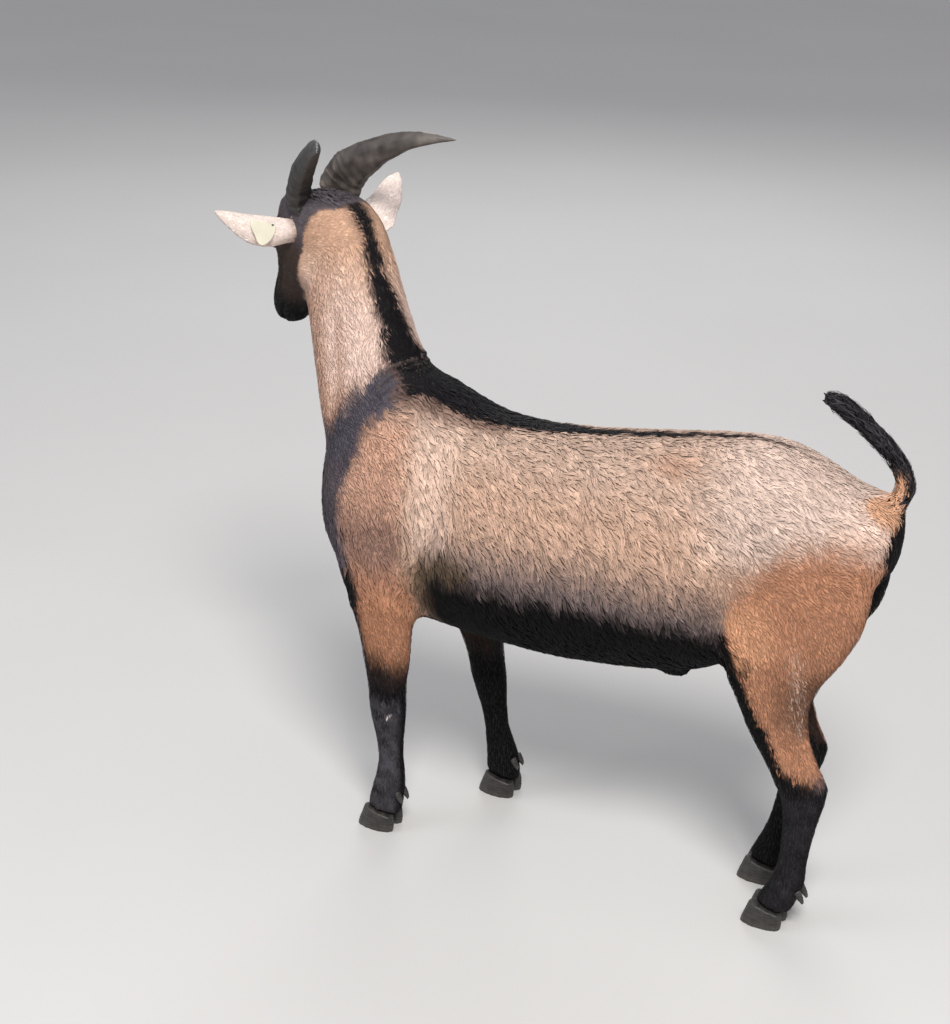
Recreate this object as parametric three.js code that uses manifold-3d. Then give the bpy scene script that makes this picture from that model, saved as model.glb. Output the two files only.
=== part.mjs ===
// A goat standing square, with its head raised and turned to its right, as a still life-size model.
// Millimetres. +X is forward, +Y is the goat's left, +Z is up, and the soles stand on z = 0.
// Every body surface is drawn out to the tips of the coat.
import * as THREE from "three";
import { mergeVertices } from "three/addons/utils/BufferGeometryUtils.js";
import Module from "manifold-3d";

const wasm = await Module();
wasm.setup();

// ---------------------------------------------------------------- driving dimensions

const GAP = 0.3; // clear space between two nodes that touch
const REACH = 3000; // side of the blocks that stand for half of all space
const UP = new THREE.Vector3(0, 0, 1);
const SIDES = { left: 1, right: -1 };

// The head's own frame: its origin is the poll, midway between the horns, +X runs down the face
// to the nose, +Y is the goat's left, and +Z stands off the forehead.
const POLL = new THREE.Vector3(711, -40, 850);
const HEAD_YAW = 32; // degrees that the face turns to the goat's right
const HEAD_PITCH = 57; // degrees that the face line drops below level
const HEAD_ROLL = 1; // degrees that the left side hangs lower

const EYE = { radius: 13.5, along: 66, out: 42, off: -12 };
const HORN_ROOT = { along: -6, out: 31, off: -8 };
const HORN_DRAWN = { left: 0.27, right: 0 }; // how much less than the list each horn's tip spreads
const EARS = {
  left: { root: [27, 43, -39], along: [-0.25, 0.95, 0.18], open: [0.73, -0.42, 0.5] },
  right: { root: [20, -43, -43], along: [-0.12, -0.83, 0.55], open: [0.93, 0.1, 0.3] },
};
// How far each ear's middle sags and its tip widens, as shares, and the height of the rounded heel
// that the base of the right ear shows as it turns forward.
const EAR_CARRIAGE = { left: { sag: 1, blunt: 0, heel: 0 }, right: { sag: 1.2, blunt: 0.5, heel: 13 } };
const SOLE_LENGTH = 58;
const CLAW_HALF = 12; // half the width of one claw
const CLEFT = 3; // space between a foot's two claws at the sole
const DEWCLAW = { z: 57, behind: 19, out: 9, radius: 5.5, length: 15, lean: 32 };
const CORONET = { z: 30, slope: 0.28 }; // where horn ends and skin begins, rising towards the toe

// Where the body is divided into nodes: heights of the knee and hock joints, and planes that are
// each a point and a normal.
const KNEE = 190;
const HOCK = 212;
const ELBOW_CUT = { at: [540, 45, 298], normal: [0, -0.857, 1] }; // on the left, and mirrored
const THIGH_CUT = { at: [72, 0, 318], normal: [0.86, 0, 1] };
const NAPE_CUT = { at: [655, -33, 782], normal: [0.27, -0.22, 0.94] };
const WITHERS_CUT = { at: [512, 0, 662], normal: [0.712, 0, 0.702] };
const TAIL_CUT = { at: [-112, 0, 580], normal: [-0.6, 0, 0.8] };
const HORN_CUT = { at: [4, 0, 0], normal: [-1, 0, 0.1] }; // in the head's frame

// The left ear's tag, in the ear's frame: a blank shield-shaped plate on the back of the ear, and
// the pin that holds it, which ends in a round button in the ear's cup.
const TAG = { along: 54, width: 39, top: 0, height: 31, back: -14.9, thick: 1.6, corner: 6 };
const PIN = { along: 42, across: -3, radius: 1.5, button: 6, front: -2.4, thick: 2 };

// ---------------------------------------------------------------- sections of the body
// Each list is smoothed into more sections. "wide" says how far up a section is widest, from 0 at
// its bottom to 1 at its top. "square" is the power of its rounded outline, 2 for an ellipse.

// Trunk, from the breast to the rump: x, height of the back, height of the belly, half width.
const TRUNK = [
  { x: 654, top: 500, bottom: 405, half: 34, wide: 0.5, square: 2 },
  { x: 643, top: 558, bottom: 372, half: 66, wide: 0.5, square: 2.1 },
  { x: 610, top: 610, bottom: 340, half: 88, wide: 0.48, square: 2.15 },
  { x: 560, top: 640, bottom: 315, half: 98, wide: 0.44, square: 2.2 },
  { x: 500, top: 646, bottom: 303, half: 104, wide: 0.42, square: 2.2 },
  { x: 440, top: 611, bottom: 295, half: 113, wide: 0.42, square: 2.15 },
  { x: 360, top: 599, bottom: 292, half: 123, wide: 0.42, square: 2.15 },
  { x: 270, top: 605, bottom: 292, half: 131, wide: 0.42, square: 2.15 },
  { x: 185, top: 617, bottom: 301, half: 132, wide: 0.44, square: 2.15 },
  { x: 110, top: 628, bottom: 310, half: 120, wide: 0.48, square: 2.2 },
  { x: 50, top: 634, bottom: 342, half: 101, wide: 0.55, square: 2.3 },
  { x: 0, top: 626, bottom: 391, half: 90, wide: 0.56, square: 2.3 },
  { x: -45, top: 603, bottom: 436, half: 80, wide: 0.57, square: 2.25 },
  { x: -80, top: 589, bottom: 456, half: 70, wide: 0.57, square: 2.25 },
  { x: -108, top: 586, bottom: 468, half: 58, wide: 0.55, square: 2.2 },
  { x: -122, top: 577, bottom: 482, half: 42, wide: 0.55, square: 2 },
  { x: -130, top: 562, bottom: 502, half: 20, wide: 0.55, square: 2 },
];

// Neck, from inside the chest to inside the skull: centre, turn to the right in degrees, half
// depth towards the throat and towards the nape, half width.
const NECK = [
  { x: 548, y: 0, z: 500, turn: 0, throat: 92, nape: 92, half: 84 },
  { x: 578, y: -2, z: 560, turn: 0, throat: 88, nape: 92, half: 76 },
  { x: 602, y: -6, z: 622, turn: 5, throat: 80, nape: 84, half: 66 },
  { x: 621, y: -14, z: 678, turn: 12, throat: 78, nape: 77, half: 60 },
  { x: 640, y: -25, z: 732, turn: 21, throat: 77, nape: 74, half: 58 },
  { x: 655, y: -33, z: 780, turn: 29, throat: 68, nape: 68, half: 56 },
  { x: 668, y: -38, z: 820, turn: 32, throat: 48, nape: 54, half: 45 },
  { x: 678, y: -40, z: 842, turn: 32, throat: 26, nape: 34, half: 26 },
];

// Head, along the face in the head's frame: height of the top line and of the jaw line, half
// width, and how much wider the upper half is than the lower.
const HEAD = [
  { x: -30, top: -38, bottom: -68, half: 20, wide: 0.5, square: 2, lean: 0 },
  { x: -20, top: -10, bottom: -84, half: 36, wide: 0.6, square: 2.1, lean: 0 },
  { x: 2, top: 5, bottom: -98, half: 46, wide: 0.62, square: 2.2, lean: 0.05 },
  { x: 28, top: 9, bottom: -108, half: 50, wide: 0.66, square: 2.3, lean: 0.12 },
  { x: 56, top: 7, bottom: -113, half: 51, wide: 0.68, square: 2.4, lean: 0.14 },
  { x: 82, top: 0, bottom: -107, half: 48, wide: 0.64, square: 2.4, lean: 0.1 },
  { x: 108, top: -6, bottom: -92, half: 42, wide: 0.6, square: 2.3, lean: 0.03 },
  { x: 132, top: -8, bottom: -78, half: 37, wide: 0.56, square: 2.3, lean: 0 },
  { x: 156, top: -8, bottom: -70, half: 34, wide: 0.52, square: 2.3, lean: 0 },
  { x: 178, top: -12, bottom: -64, half: 29, wide: 0.52, square: 2.3, lean: 0.04 },
  { x: 194, top: -18, bottom: -58, half: 23, wide: 0.5, square: 2.2, lean: 0.06 },
  { x: 203, top: -30, bottom: -49, half: 12, wide: 0.5, square: 2, lean: 0 },
];

// Rounded masses joined to the head: centre and half sizes, in the head's frame. A mass that
// stands off the midline is made on both sides.
const HEAD_MASSES = [
  { name: "crown", at: [28, 27, 4], size: [30, 18, 20] },
  { name: "brow", at: [62, 41, -5], size: [23, 16, 15] },
  { name: "cheek", at: [60, 33, -62], size: [34, 15, 36] },
  { name: "nostril wing", at: [185, 13, -23], size: [16, 12, 11] },
  { name: "upper lip", at: [183, 12, -40], size: [18, 14, 12] },
  { name: "chin", at: [176, 0, -57], size: [18, 16, 10] },
];

// Legs, from inside the body down to the coronet: height, reach forward and back of the leg's
// plumb line, half width, and how much narrower the back is than the front.
const FORE_LEG = [
  { z: 540, front: 62, back: 62, half: 26, egg: 0 },
  { z: 480, front: 78, back: 76, half: 38, egg: 0 },
  { z: 420, front: 80, back: 76, half: 42, egg: 0 },
  { z: 375, front: 69, back: 64, half: 40, egg: 0.1 },
  { z: 340, front: 54, back: 50, half: 34, egg: 0.15 },
  { z: 300, front: 40, back: 42, half: 28, egg: 0.15 },
  { z: 255, front: 35, back: 37, half: 24, egg: 0.15 },
  { z: 222, front: 30, back: 30, half: 21.5, egg: 0.05 },
  { z: 190, front: 27.5, back: 28, half: 22, egg: 0 },
  { z: 160, front: 24, back: 25, half: 18.5, egg: 0 },
  { z: 125, front: 19.5, back: 19.5, half: 15, egg: 0 },
  { z: 95, front: 19, back: 19.5, half: 15.5, egg: 0 },
  { z: 68, front: 24, back: 24, half: 21, egg: 0.05 },
  { z: 48, front: 25, back: 24, half: 20.5, egg: 0.1 },
  { z: 24, front: 29, back: 27, half: 23, egg: 0.15 },
  { z: 12, front: 25, back: 24, half: 20, egg: 0.15 },
];
const HIND_LEG = [
  { z: 560, front: 60, back: 62, half: 30, egg: 0 },
  { z: 515, front: 78, back: 94, half: 40, egg: 0.1 },
  { z: 465, front: 88, back: 105, half: 45, egg: 0.15 },
  { z: 422, front: 92, back: 102, half: 44, egg: 0.2 },
  { z: 380, front: 86, back: 84, half: 40, egg: 0.22 },
  { z: 345, front: 68, back: 61, half: 33, egg: 0.25 },
  { z: 310, front: 50, back: 47, half: 27, egg: 0.3 },
  { z: 275, front: 41, back: 44, half: 23, egg: 0.35 },
  { z: 240, front: 36, back: 41, half: 21.5, egg: 0.35 },
  { z: 212, front: 36, back: 40, half: 22, egg: 0.25 },
  { z: 188, front: 29, back: 30, half: 21, egg: 0.15 },
  { z: 155, front: 23, back: 23.5, half: 16.5, egg: 0.05 },
  { z: 115, front: 19.5, back: 20, half: 15, egg: 0 },
  { z: 90, front: 19.5, back: 20, half: 16, egg: 0 },
  { z: 68, front: 23, back: 23, half: 21, egg: 0.05 },
  { z: 48, front: 26, back: 24, half: 20.5, egg: 0.1 },
  { z: 24, front: 28, back: 27, half: 23, egg: 0.15 },
  { z: 12, front: 25, back: 24, half: 20, egg: 0.15 },
];

// Where each leg stands: its plumb line's x and distance out from the midline, by height.
const STANCES = {
  front_left: [
    { z: 540, x: 546, out: 64 },
    { z: 420, x: 545, out: 64 },
    { z: 340, x: 539, out: 72 },
    { z: 255, x: 530, out: 77 },
    { z: 180, x: 526, out: 78 },
    { z: 100, x: 519, out: 78 },
    { z: 50, x: 523, out: 78 },
    { z: 0, x: 534, out: 78 },
  ],
  front_right: [
    { z: 540, x: 536, out: 64 },
    { z: 420, x: 527, out: 64 },
    { z: 340, x: 497, out: 72 },
    { z: 255, x: 464, out: 80 },
    { z: 180, x: 450, out: 85 },
    { z: 100, x: 435, out: 88 },
    { z: 50, x: 423, out: 90 },
    { z: 0, x: 428, out: 91 },
  ],
  hind_left: [
    { z: 560, x: -20, out: 48 },
    { z: 422, x: -8, out: 54 },
    { z: 345, x: -5, out: 60 },
    { z: 285, x: -12, out: 62 },
    { z: 235, x: -34, out: 61 },
    { z: 195, x: -55, out: 60 },
    { z: 110, x: -51, out: 59 },
    { z: 60, x: -45, out: 59 },
    { z: 24, x: -28, out: 59 },
    { z: 0, x: -20, out: 59 },
  ],
  hind_right: [
    { z: 560, x: -20, out: 48 },
    { z: 422, x: -3, out: 53 },
    { z: 345, x: 14, out: 56 },
    { z: 285, x: 17, out: 55 },
    { z: 235, x: -2, out: 52 },
    { z: 195, x: -22, out: 50 },
    { z: 110, x: -8, out: 47 },
    { z: 60, x: 2, out: 46 },
    { z: 24, x: 14, out: 45 },
    { z: 0, x: 20, out: 45 },
  ],
};

// Tail, raised and curled forward: centre line and half width.
const TAIL = [
  { x: -84, z: 560, half: 22 },
  { x: -110, z: 572, half: 19 },
  { x: -127, z: 598, half: 15 },
  { x: -118, z: 625, half: 13.5 },
  { x: -95, z: 649, half: 14 },
  { x: -65, z: 673, half: 15 },
  { x: -34, z: 692, half: 14.5 },
  { x: -9, z: 698, half: 6 },
];

// Horn, from the poll up, back and out in the head's frame: centre line, half of its long way
// across and half of its thickness.
const HORN = [
  { x: 18, y: -3, z: -9, long: 31, thin: 16 },
  { x: -2, y: 0, z: 1.5, long: 31.5, thin: 16 },
  { x: -28, y: 4, z: 4, long: 30, thin: 15.5 },
  { x: -56, y: 11, z: -4.5, long: 25.5, thin: 14 },
  { x: -86, y: 21, z: -19, long: 20, thin: 12 },
  { x: -116, y: 36, z: -36, long: 15, thin: 9.5 },
  { x: -141, y: 57, z: -58, long: 9, thin: 6 },
  { x: -160, y: 83, z: -85, long: 1.5, thin: 1.5 },
];
const HORN_TWIST = 27; // degrees that the horn's front edge turns towards the midline

// Ear, from its root to its tip along its own axis: half width, depth of its cup, and how far its
// middle line sags below the axis.
const EAR = [
  { x: -12, half: 13, cup: 6, sag: 0 },
  { x: 6, half: 16, cup: 11, sag: 2 },
  { x: 28, half: 20, cup: 11, sag: 8 },
  { x: 50, half: 20.5, cup: 11, sag: 11 },
  { x: 70, half: 18, cup: 9, sag: 11 },
  { x: 88, half: 13.5, cup: 6.5, sag: 8 },
  { x: 106, half: 8, cup: 3.5, sag: 4 },
  { x: 121, half: 2, cup: 1, sag: 0 },
];
const EAR_THICK = 3.6;

// ---------------------------------------------------------------- solids and cuts

// A closed solid from points and triangles, turned to face out whichever way they ran.
function closed(points, faces) {
  const vertProperties = new Float32Array(points.flatMap((p) => [p.x, p.y, p.z]));
  const make = (list) =>
    new wasm.Manifold(new wasm.Mesh({ numProp: 3, vertProperties, triVerts: new Uint32Array(list) }));
  const made = make(faces);
  return made.volume() > 0 ? made : make(faces.toReversed());
}

function solidOf(geometry) {
  geometry.deleteAttribute("normal");
  geometry.deleteAttribute("uv");
  const merged = mergeVertices(geometry, 1e-3);
  const places = merged.getAttribute("position");
  const points = Array.from({ length: places.count }, (_, i) =>
    new THREE.Vector3().fromBufferAttribute(places, i),
  );
  return closed(points, [...merged.index.array]);
}

function geometryOf(solid) {
  const mesh = solid.getMesh();
  const geometry = new THREE.BufferGeometry();
  geometry.setAttribute("position", new THREE.BufferAttribute(mesh.vertProperties, 3));
  geometry.setIndex(new THREE.BufferAttribute(mesh.triVerts, 1));
  return geometry;
}

const middle = (ring) => ring.reduce((sum, p) => sum.add(p), new THREE.Vector3()).divideScalar(ring.length);

// Rings of points, each joined to the next, with a fan of triangles over both ends.
function loft(rings) {
  const sides = rings[0].length;
  const points = [...rings.flat(), middle(rings[0]), middle(rings.at(-1))];
  const start = points.length - 2;
  const last = (rings.length - 1) * sides;
  const faces = [];
  for (let side = 0; side < sides; side++) {
    const next = (side + 1) % sides;
    for (let ring = 0; ring < last; ring += sides) {
      faces.push(ring + side, ring + next, ring + sides + next);
      faces.push(ring + side, ring + sides + next, ring + sides + side);
    }
    faces.push(start, next, side);
    faces.push(start + 1, last + side, last + next);
  }
  return closed(points, faces);
}

// All of space on the side of a plane that its normal points to.
function halfSpace(point, normal) {
  const block = new THREE.BoxGeometry(REACH, REACH, REACH).translate(0, 0, REACH / 2);
  block.applyQuaternion(new THREE.Quaternion().setFromUnitVectors(UP, normal.clone().normalize()));
  return solidOf(block.translate(...point));
}

// The two sides of a solid cut by a plane, with a gap between them: [beyond the normal, behind it].
function part(solid, { at, normal }, side = 1) {
  const mirrored = ([x, y, z]) => new THREE.Vector3(x, side * y, z);
  const outward = mirrored(normal);
  const step = outward.clone().setLength(GAP / 2);
  const beyond = solid.intersect(halfSpace(mirrored(at).add(step), outward));
  const behind = solid.intersect(halfSpace(mirrored(at).sub(step), outward.clone().negate()));
  return [beyond, behind];
}

const levelCut = (z) => ({ at: [0, 0, z], normal: [0, 0, 1] });

const join = (solids) => solids.reduce((whole, piece) => whole.add(piece));

// ---------------------------------------------------------------- smooth lists and outlines

// A list of sections, smoothed into count of them.
function smooth(rows, count) {
  const names = Object.keys(rows[0]);
  const values = new Float64Array(rows.flatMap((row) => names.map((name) => row[name])));
  const curve = new THREE.CubicInterpolant(rows.keys().toArray(), values, names.length);
  return Array.from({ length: count }, (_, i) => {
    const at = curve.evaluate((i * (rows.length - 1)) / (count - 1));
    return Object.fromEntries(names.map((name, n) => [name, at[n]]));
  });
}

// The same list with its two ends moved out by a margin.
function lengthened(rows, grow) {
  const last = rows.length - 1;
  return rows.map((row, i) => ({ ...row, x: row.x + (i === last ? grow : i === 0 ? -grow : 0) }));
}

// The values of a list at one height, for a list that runs downwards.
function atHeight(rows, z) {
  const lower = rows.findIndex((row) => row.z <= z);
  if (lower <= 0) return rows[lower === 0 ? 0 : rows.length - 1];
  const [a, b] = [rows[lower - 1], rows[lower]];
  const share = THREE.MathUtils.smoothstep(a.z - z, 0, a.z - b.z);
  return { x: THREE.MathUtils.lerp(a.x, b.x, share), out: THREE.MathUtils.lerp(a.out, b.out, share) };
}

// The direction in which a list of centres runs at one of its rows.
function heading(rows, i) {
  const before = rows[Math.max(i - 1, 0)];
  const after = rows[Math.min(i + 1, rows.length - 1)];
  const across = (after.y ?? 0) - (before.y ?? 0);
  return new THREE.Vector3(after.x - before.x, across, after.z - before.z).normalize();
}

// Points round a rounded outline: [across, along], each from -1 to 1.
function outline(sides, square) {
  const power = (value) => Math.sign(value) * Math.abs(value) ** (2 / square);
  return Array.from({ length: sides }, (_, i) => {
    const angle = (2 * Math.PI * (i + 0.5)) / sides;
    return [power(Math.cos(angle)), power(Math.sin(angle))];
  });
}

// A section that stands across the x axis, of a trunk or a head.
function uprightRing({ x, top, bottom, half, wide, square, lean = 0 }, sides, grow = 0) {
  const centre = THREE.MathUtils.lerp(bottom, top, wide);
  return outline(sides, square).map(([across, up]) => {
    const z = centre + up * ((up > 0 ? top - centre : centre - bottom) + grow);
    return new THREE.Vector3(x, across * (half + grow) * (1 + lean * up), z);
  });
}

// ---------------------------------------------------------------- pieces of the body

const trunkLoft = () => loft(smooth(TRUNK, 22).map((section) => uprightRing(section, 20)));

// The low mound of the sheath under the belly.
function sheath() {
  const mound = new THREE.SphereGeometry(1, 10, 6).scale(36, 13, 22);
  return solidOf(mound.rotateY(-0.1).translate(150, 0, 299));
}

// The neck rises from the chest and turns with the head.
function neckLoft() {
  const rows = smooth(NECK, 11);
  return loft(
    rows.map((row, i) => {
      const along = heading(rows, i);
      const turn = THREE.MathUtils.degToRad(row.turn);
      const facing = new THREE.Vector3(Math.cos(turn), -Math.sin(turn), 0);
      const left = new THREE.Vector3().crossVectors(along, facing).normalize();
      const throat = new THREE.Vector3().crossVectors(left, along);
      return outline(16, 2.1).map(([across, forward]) =>
        new THREE.Vector3(row.x, row.y, row.z)
          .addScaledVector(left, across * row.half * (1 + 0.1 * forward))
          .addScaledVector(throat, forward * (forward > 0 ? row.throat : row.nape)),
      );
    }),
  );
}

function tailLoft() {
  const rows = smooth(TAIL, 11);
  return loft(
    rows.map((row, i) => {
      const { x, z } = heading(rows, i);
      const across = new THREE.Vector3(z, 0, -x);
      return outline(10, 2).map(([left, out]) =>
        new THREE.Vector3(row.x, left * row.half, row.z).addScaledVector(across, out * row.half),
      );
    }),
  );
}

// A leg from inside the body down to the foot, its sections level and centred on its plumb line.
function legLoft(sections, stance, side) {
  return loft(
    smooth(sections, 18).map(({ z, front, back, half, egg }) => {
      const { x, out } = atHeight(smooth(stance, 33), z);
      return outline(12, 2.2).map(([across, forward]) => {
        const reach = forward > 0 ? front : back;
        return new THREE.Vector3(x + forward * reach, side * out + across * half * (1 + egg * forward), z);
      });
    }),
  );
}

// One claw of a foot, centred on its sole: a toe that slopes back, and an upright heel.
function clawLoft() {
  const levels = [
    { z: 0, toe: 0.5, heel: 0.46, half: 0.92 },
    { z: 9, toe: 0.46, heel: 0.48, half: 1 },
    { z: 24, toe: 0.37, heel: 0.46, half: 1 },
    { z: 44, toe: 0.24, heel: 0.4, half: 0.92 },
  ];
  return loft(
    levels.map(({ z, toe, heel, half }) =>
      outline(10, 2.3).map(([across, forward]) => {
        const taper = forward > 0 ? 1 - 0.45 * forward ** 2 : 1;
        const x = forward * SOLE_LENGTH * (forward > 0 ? toe : heel);
        return new THREE.Vector3(x, across * half * CLAW_HALF * taper, z);
      }),
    ),
  );
}

// A dewclaw, pointing down and back from the origin, grown by a margin all round.
function dewclawCone(grow) {
  const { radius, length, lean } = DEWCLAW;
  const profile = [
    [0, -4 - grow],
    [radius + grow, -4 - grow],
    [radius * 0.85 + grow, length * 0.5],
    [radius * 0.4 + grow, length + grow],
    [0, length + grow],
  ];
  const lathe = new THREE.LatheGeometry(profile.map(([r, y]) => new THREE.Vector2(r, y)), 6);
  return solidOf(lathe.rotateX(-Math.PI / 2).rotateY(THREE.MathUtils.degToRad(lean)));
}

// ---------------------------------------------------------------- pieces of the head

const toHead = new THREE.Matrix4();
{
  const yaw = new THREE.Matrix4().makeRotationZ(-THREE.MathUtils.degToRad(HEAD_YAW));
  const pitch = new THREE.Matrix4().makeRotationY(THREE.MathUtils.degToRad(HEAD_PITCH));
  const roll = new THREE.Matrix4().makeRotationX(-THREE.MathUtils.degToRad(HEAD_ROLL));
  toHead.makeTranslation(POLL).multiply(yaw).multiply(pitch).multiply(roll);
}
const placedOnHead = (solid) => solid.transform(toHead.elements);

// A rounded mass in the head's frame, grown by a margin all round.
function ellipsoid([x, y, z], [sx, sy, sz], grow) {
  const ball = new THREE.SphereGeometry(1, 8, 6).scale(sx + grow, sy + grow, sz + grow);
  return solidOf(ball.translate(x, y, z));
}

// The whole head without ears, eyes and horns, grown by a margin so that it can cut the neck.
function skull(grow) {
  const shell = loft(lengthened(smooth(HEAD, 16), grow).map((section) => uprightRing(section, 16, grow)));
  const masses = HEAD_MASSES.flatMap(({ at: [x, y, z], size }) =>
    (y === 0 ? [0] : [y, -y]).map((out) => ellipsoid([x, out, z], size, grow)),
  );
  return placedOnHead(join([shell, ...masses]));
}

function eyeball(side, grow) {
  const ball = new THREE.SphereGeometry(EYE.radius + grow, 10, 6);
  return placedOnHead(solidOf(ball.translate(EYE.along, side * EYE.out, EYE.off)));
}

// A horn that curves back and out, with low rings that fade towards its tip.
function hornLoft(name, grow) {
  const side = SIDES[name];
  const drawn = (x) => 1 - HORN_DRAWN[name] * THREE.MathUtils.smoothstep(-x, 40, 165);
  const rows = smooth(HORN, 13).map((row) => ({ ...row, y: row.y * drawn(row.x) }));
  const twist = THREE.MathUtils.degToRad(HORN_TWIST);
  const rings = rows.map((row, i) => {
    const along = heading(rows, i);
    const keel = new THREE.Vector3(0, -Math.sin(twist), Math.cos(twist));
    keel.addScaledVector(along, -keel.dot(along)).normalize();
    const flank = new THREE.Vector3().crossVectors(keel, along);
    const ridge = 1 + 0.035 * Math.cos(Math.PI * i) * (1 - i / rows.length);
    return outline(10, 2).map(([across, forward]) =>
      new THREE.Vector3(row.x + HORN_ROOT.along, row.y + HORN_ROOT.out, row.z + HORN_ROOT.off)
        .addScaledVector(flank, across * (row.thin * ridge + grow) * (1 - 0.3 * forward))
        .addScaledVector(keel, forward * (row.long * ridge + grow)),
    );
  });
  rings.flat().forEach((p) => (p.y *= side));
  return loft(rings);
}

// The ear's own frame: +X runs from root to tip, +Y up its width, +Z out of the open side of its cup.
function earFrame(name) {
  const along = new THREE.Vector3(...EARS[name].along).normalize();
  const open = new THREE.Vector3(...EARS[name].open);
  open.addScaledVector(along, -open.dot(along)).normalize();
  const across = new THREE.Vector3().crossVectors(open, along);
  return new THREE.Matrix4().makeBasis(along, across, open).setPosition(...EARS[name].root);
}

// A cupped leaf: each section is a thick arc, its back bulging away from the open side.
function earLoft(name, grow) {
  const steps = 5;
  const { sag: sags, blunt, heel } = EAR_CARRIAGE[name];
  const down = -SIDES[name];
  const heelAt = (x) => THREE.MathUtils.smoothstep(x, -14, 14) * (1 - THREE.MathUtils.smoothstep(x, 30, 74));
  const rings = lengthened(smooth(EAR, 12), grow).map(({ x, half: drawn, cup, sag }) => {
    const half = drawn * (1 + blunt * THREE.MathUtils.smoothstep(x, 50, 105));
    const thick = (EAR_THICK / 2) * Math.min(1, half / 8);
    const shares = Array.from({ length: steps + 1 }, (_, i) => (2 * i) / steps - 1);
    const arc = (share, face) => {
      const y = share * (half + grow);
      const lobe = heel * heelAt(x) * Math.max(0, (y * down) / half) ** 2;
      const middle = cup * ((y / half) ** 2 - 1) - 0.5 * lobe;
      const depth = face * (thick * (1 - 0.4 * share ** 2) + grow);
      return new THREE.Vector3(x, down * (sags * sag + lobe) + y, middle + depth);
    };
    return [...shares.map((t) => arc(t, -1)), ...shares.map((t) => arc(-t, 1))];
  });
  return placedOnHead(loft(rings).transform(earFrame(name).elements));
}

// ---------------------------------------------------------------- the ear tag

const onLeftEar = (solid) => placedOnHead(solid.transform(earFrame("left").elements));

// A round bar standing on the ear, from one height to another.
function bar(radius, from, to) {
  const cylinder = new THREE.CylinderGeometry(radius, radius, to - from, 12).rotateX(Math.PI / 2);
  return solidOf(cylinder.translate(PIN.along, PIN.across, (from + to) / 2));
}

function earTag() {
  const half = TAG.width / 2;
  const shoulder = TAG.top - TAG.corner;
  const foot = TAG.top - TAG.height;
  const shape = new THREE.Shape();
  shape.moveTo(-half, shoulder);
  shape.quadraticCurveTo(2 - half, foot + 8, -5, foot);
  shape.quadraticCurveTo(4, foot - 3, 10, foot + 10);
  shape.quadraticCurveTo(half, shoulder - 6, half, shoulder);
  shape.quadraticCurveTo(half, TAG.top, half - TAG.corner, TAG.top);
  shape.lineTo(TAG.corner - half, TAG.top);
  shape.quadraticCurveTo(-half, TAG.top, -half, shoulder);
  const plate = new THREE.ExtrudeGeometry(shape, {
    depth: TAG.thick,
    bevelEnabled: false,
    curveSegments: 4,
  });
  const pieces = [
    solidOf(plate.translate(TAG.along, 0, TAG.back)),
    bar(PIN.radius, TAG.back + TAG.thick / 2, PIN.front - PIN.thick / 2),
    bar(PIN.button, PIN.front - PIN.thick, PIN.front),
  ];
  return onLeftEar(join(pieces));
}

// The hole for the pin, cut clear through the ear with room round the pin.
const tagHole = () => onLeftEar(bar(PIN.radius + GAP, TAG.back - 5, PIN.front + 5));

// ---------------------------------------------------------------- assembly

const goat = new THREE.Group();
const COLOURS = {
  coat: { color: 0x9b7552, roughness: 0.9, metalness: 0 },
  dark_coat: { color: 0x2a2220, roughness: 0.85, metalness: 0 },
  horn: { color: 0x3a3532, roughness: 0.6, metalness: 0 },
  ear: { color: 0xc9a58c, roughness: 0.85, metalness: 0 },
  eye: { color: 0x8a6a2c, roughness: 0.15, metalness: 0 },
  tag: { color: 0xe9e2c4, roughness: 0.5, metalness: 0 },
};

function place(name, solid, look) {
  const mesh = new THREE.Mesh(geometryOf(solid), new THREE.MeshStandardMaterial(COLOURS[look]));
  mesh.name = name;
  goat.add(mesh);
}

let trunk = join([trunkLoft(), sheath()]);

for (const [name, stance] of Object.entries(STANCES)) {
  const side = name.endsWith("left") ? 1 : -1;
  const fore = name.startsWith("front");
  const limb = legLoft(fore ? FORE_LEG : HIND_LEG, stance, side);
  const [shoulder, free] = part(limb, fore ? ELBOW_CUT : THIGH_CUT, side);
  trunk = trunk.add(shoulder);
  const foot = stance.at(-1);
  const coronet = { at: [foot.x, 0, CORONET.z], normal: [-CORONET.slope, 0, 1] };
  const [upper, rest] = part(free, levelCut(fore ? KNEE : HOCK));
  let [lower] = part(rest, coronet);
  for (const [which, across] of [["outer", side], ["inner", -side]]) {
    const claw = clawLoft().translate(foot.x, side * foot.out + across * (CLAW_HALF + CLEFT / 2), 0);
    place("claw_" + name + "_" + which, part(claw, coronet)[1], "horn");
    const { x, out } = atHeight(stance, DEWCLAW.z);
    const spot = [x - DEWCLAW.behind, side * out + across * DEWCLAW.out, DEWCLAW.z];
    lower = lower.subtract(dewclawCone(GAP).translate(spot));
    place("dewclaw_" + name + "_" + which, dewclawCone(0).translate(spot), "horn");
  }
  place("leg_" + name + "_upper", upper, "coat");
  place("leg_" + name + "_lower", lower, "dark_coat");
}

// The nape ends on a level cut behind the jaw, and the throat is hollowed round the skull.
const [nape, throat] = part(neckLoft(), NAPE_CUT);
let head = skull(0).add(nape);
const [neck, barrel] = part(trunk.add(throat.subtract(skull(GAP))), WITHERS_CUT);
const [tail, body] = part(barrel.add(tailLoft()), TAIL_CUT);
place("neck", neck, "coat");
place("trunk", body, "coat");
place("tail", tail, "dark_coat");

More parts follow.
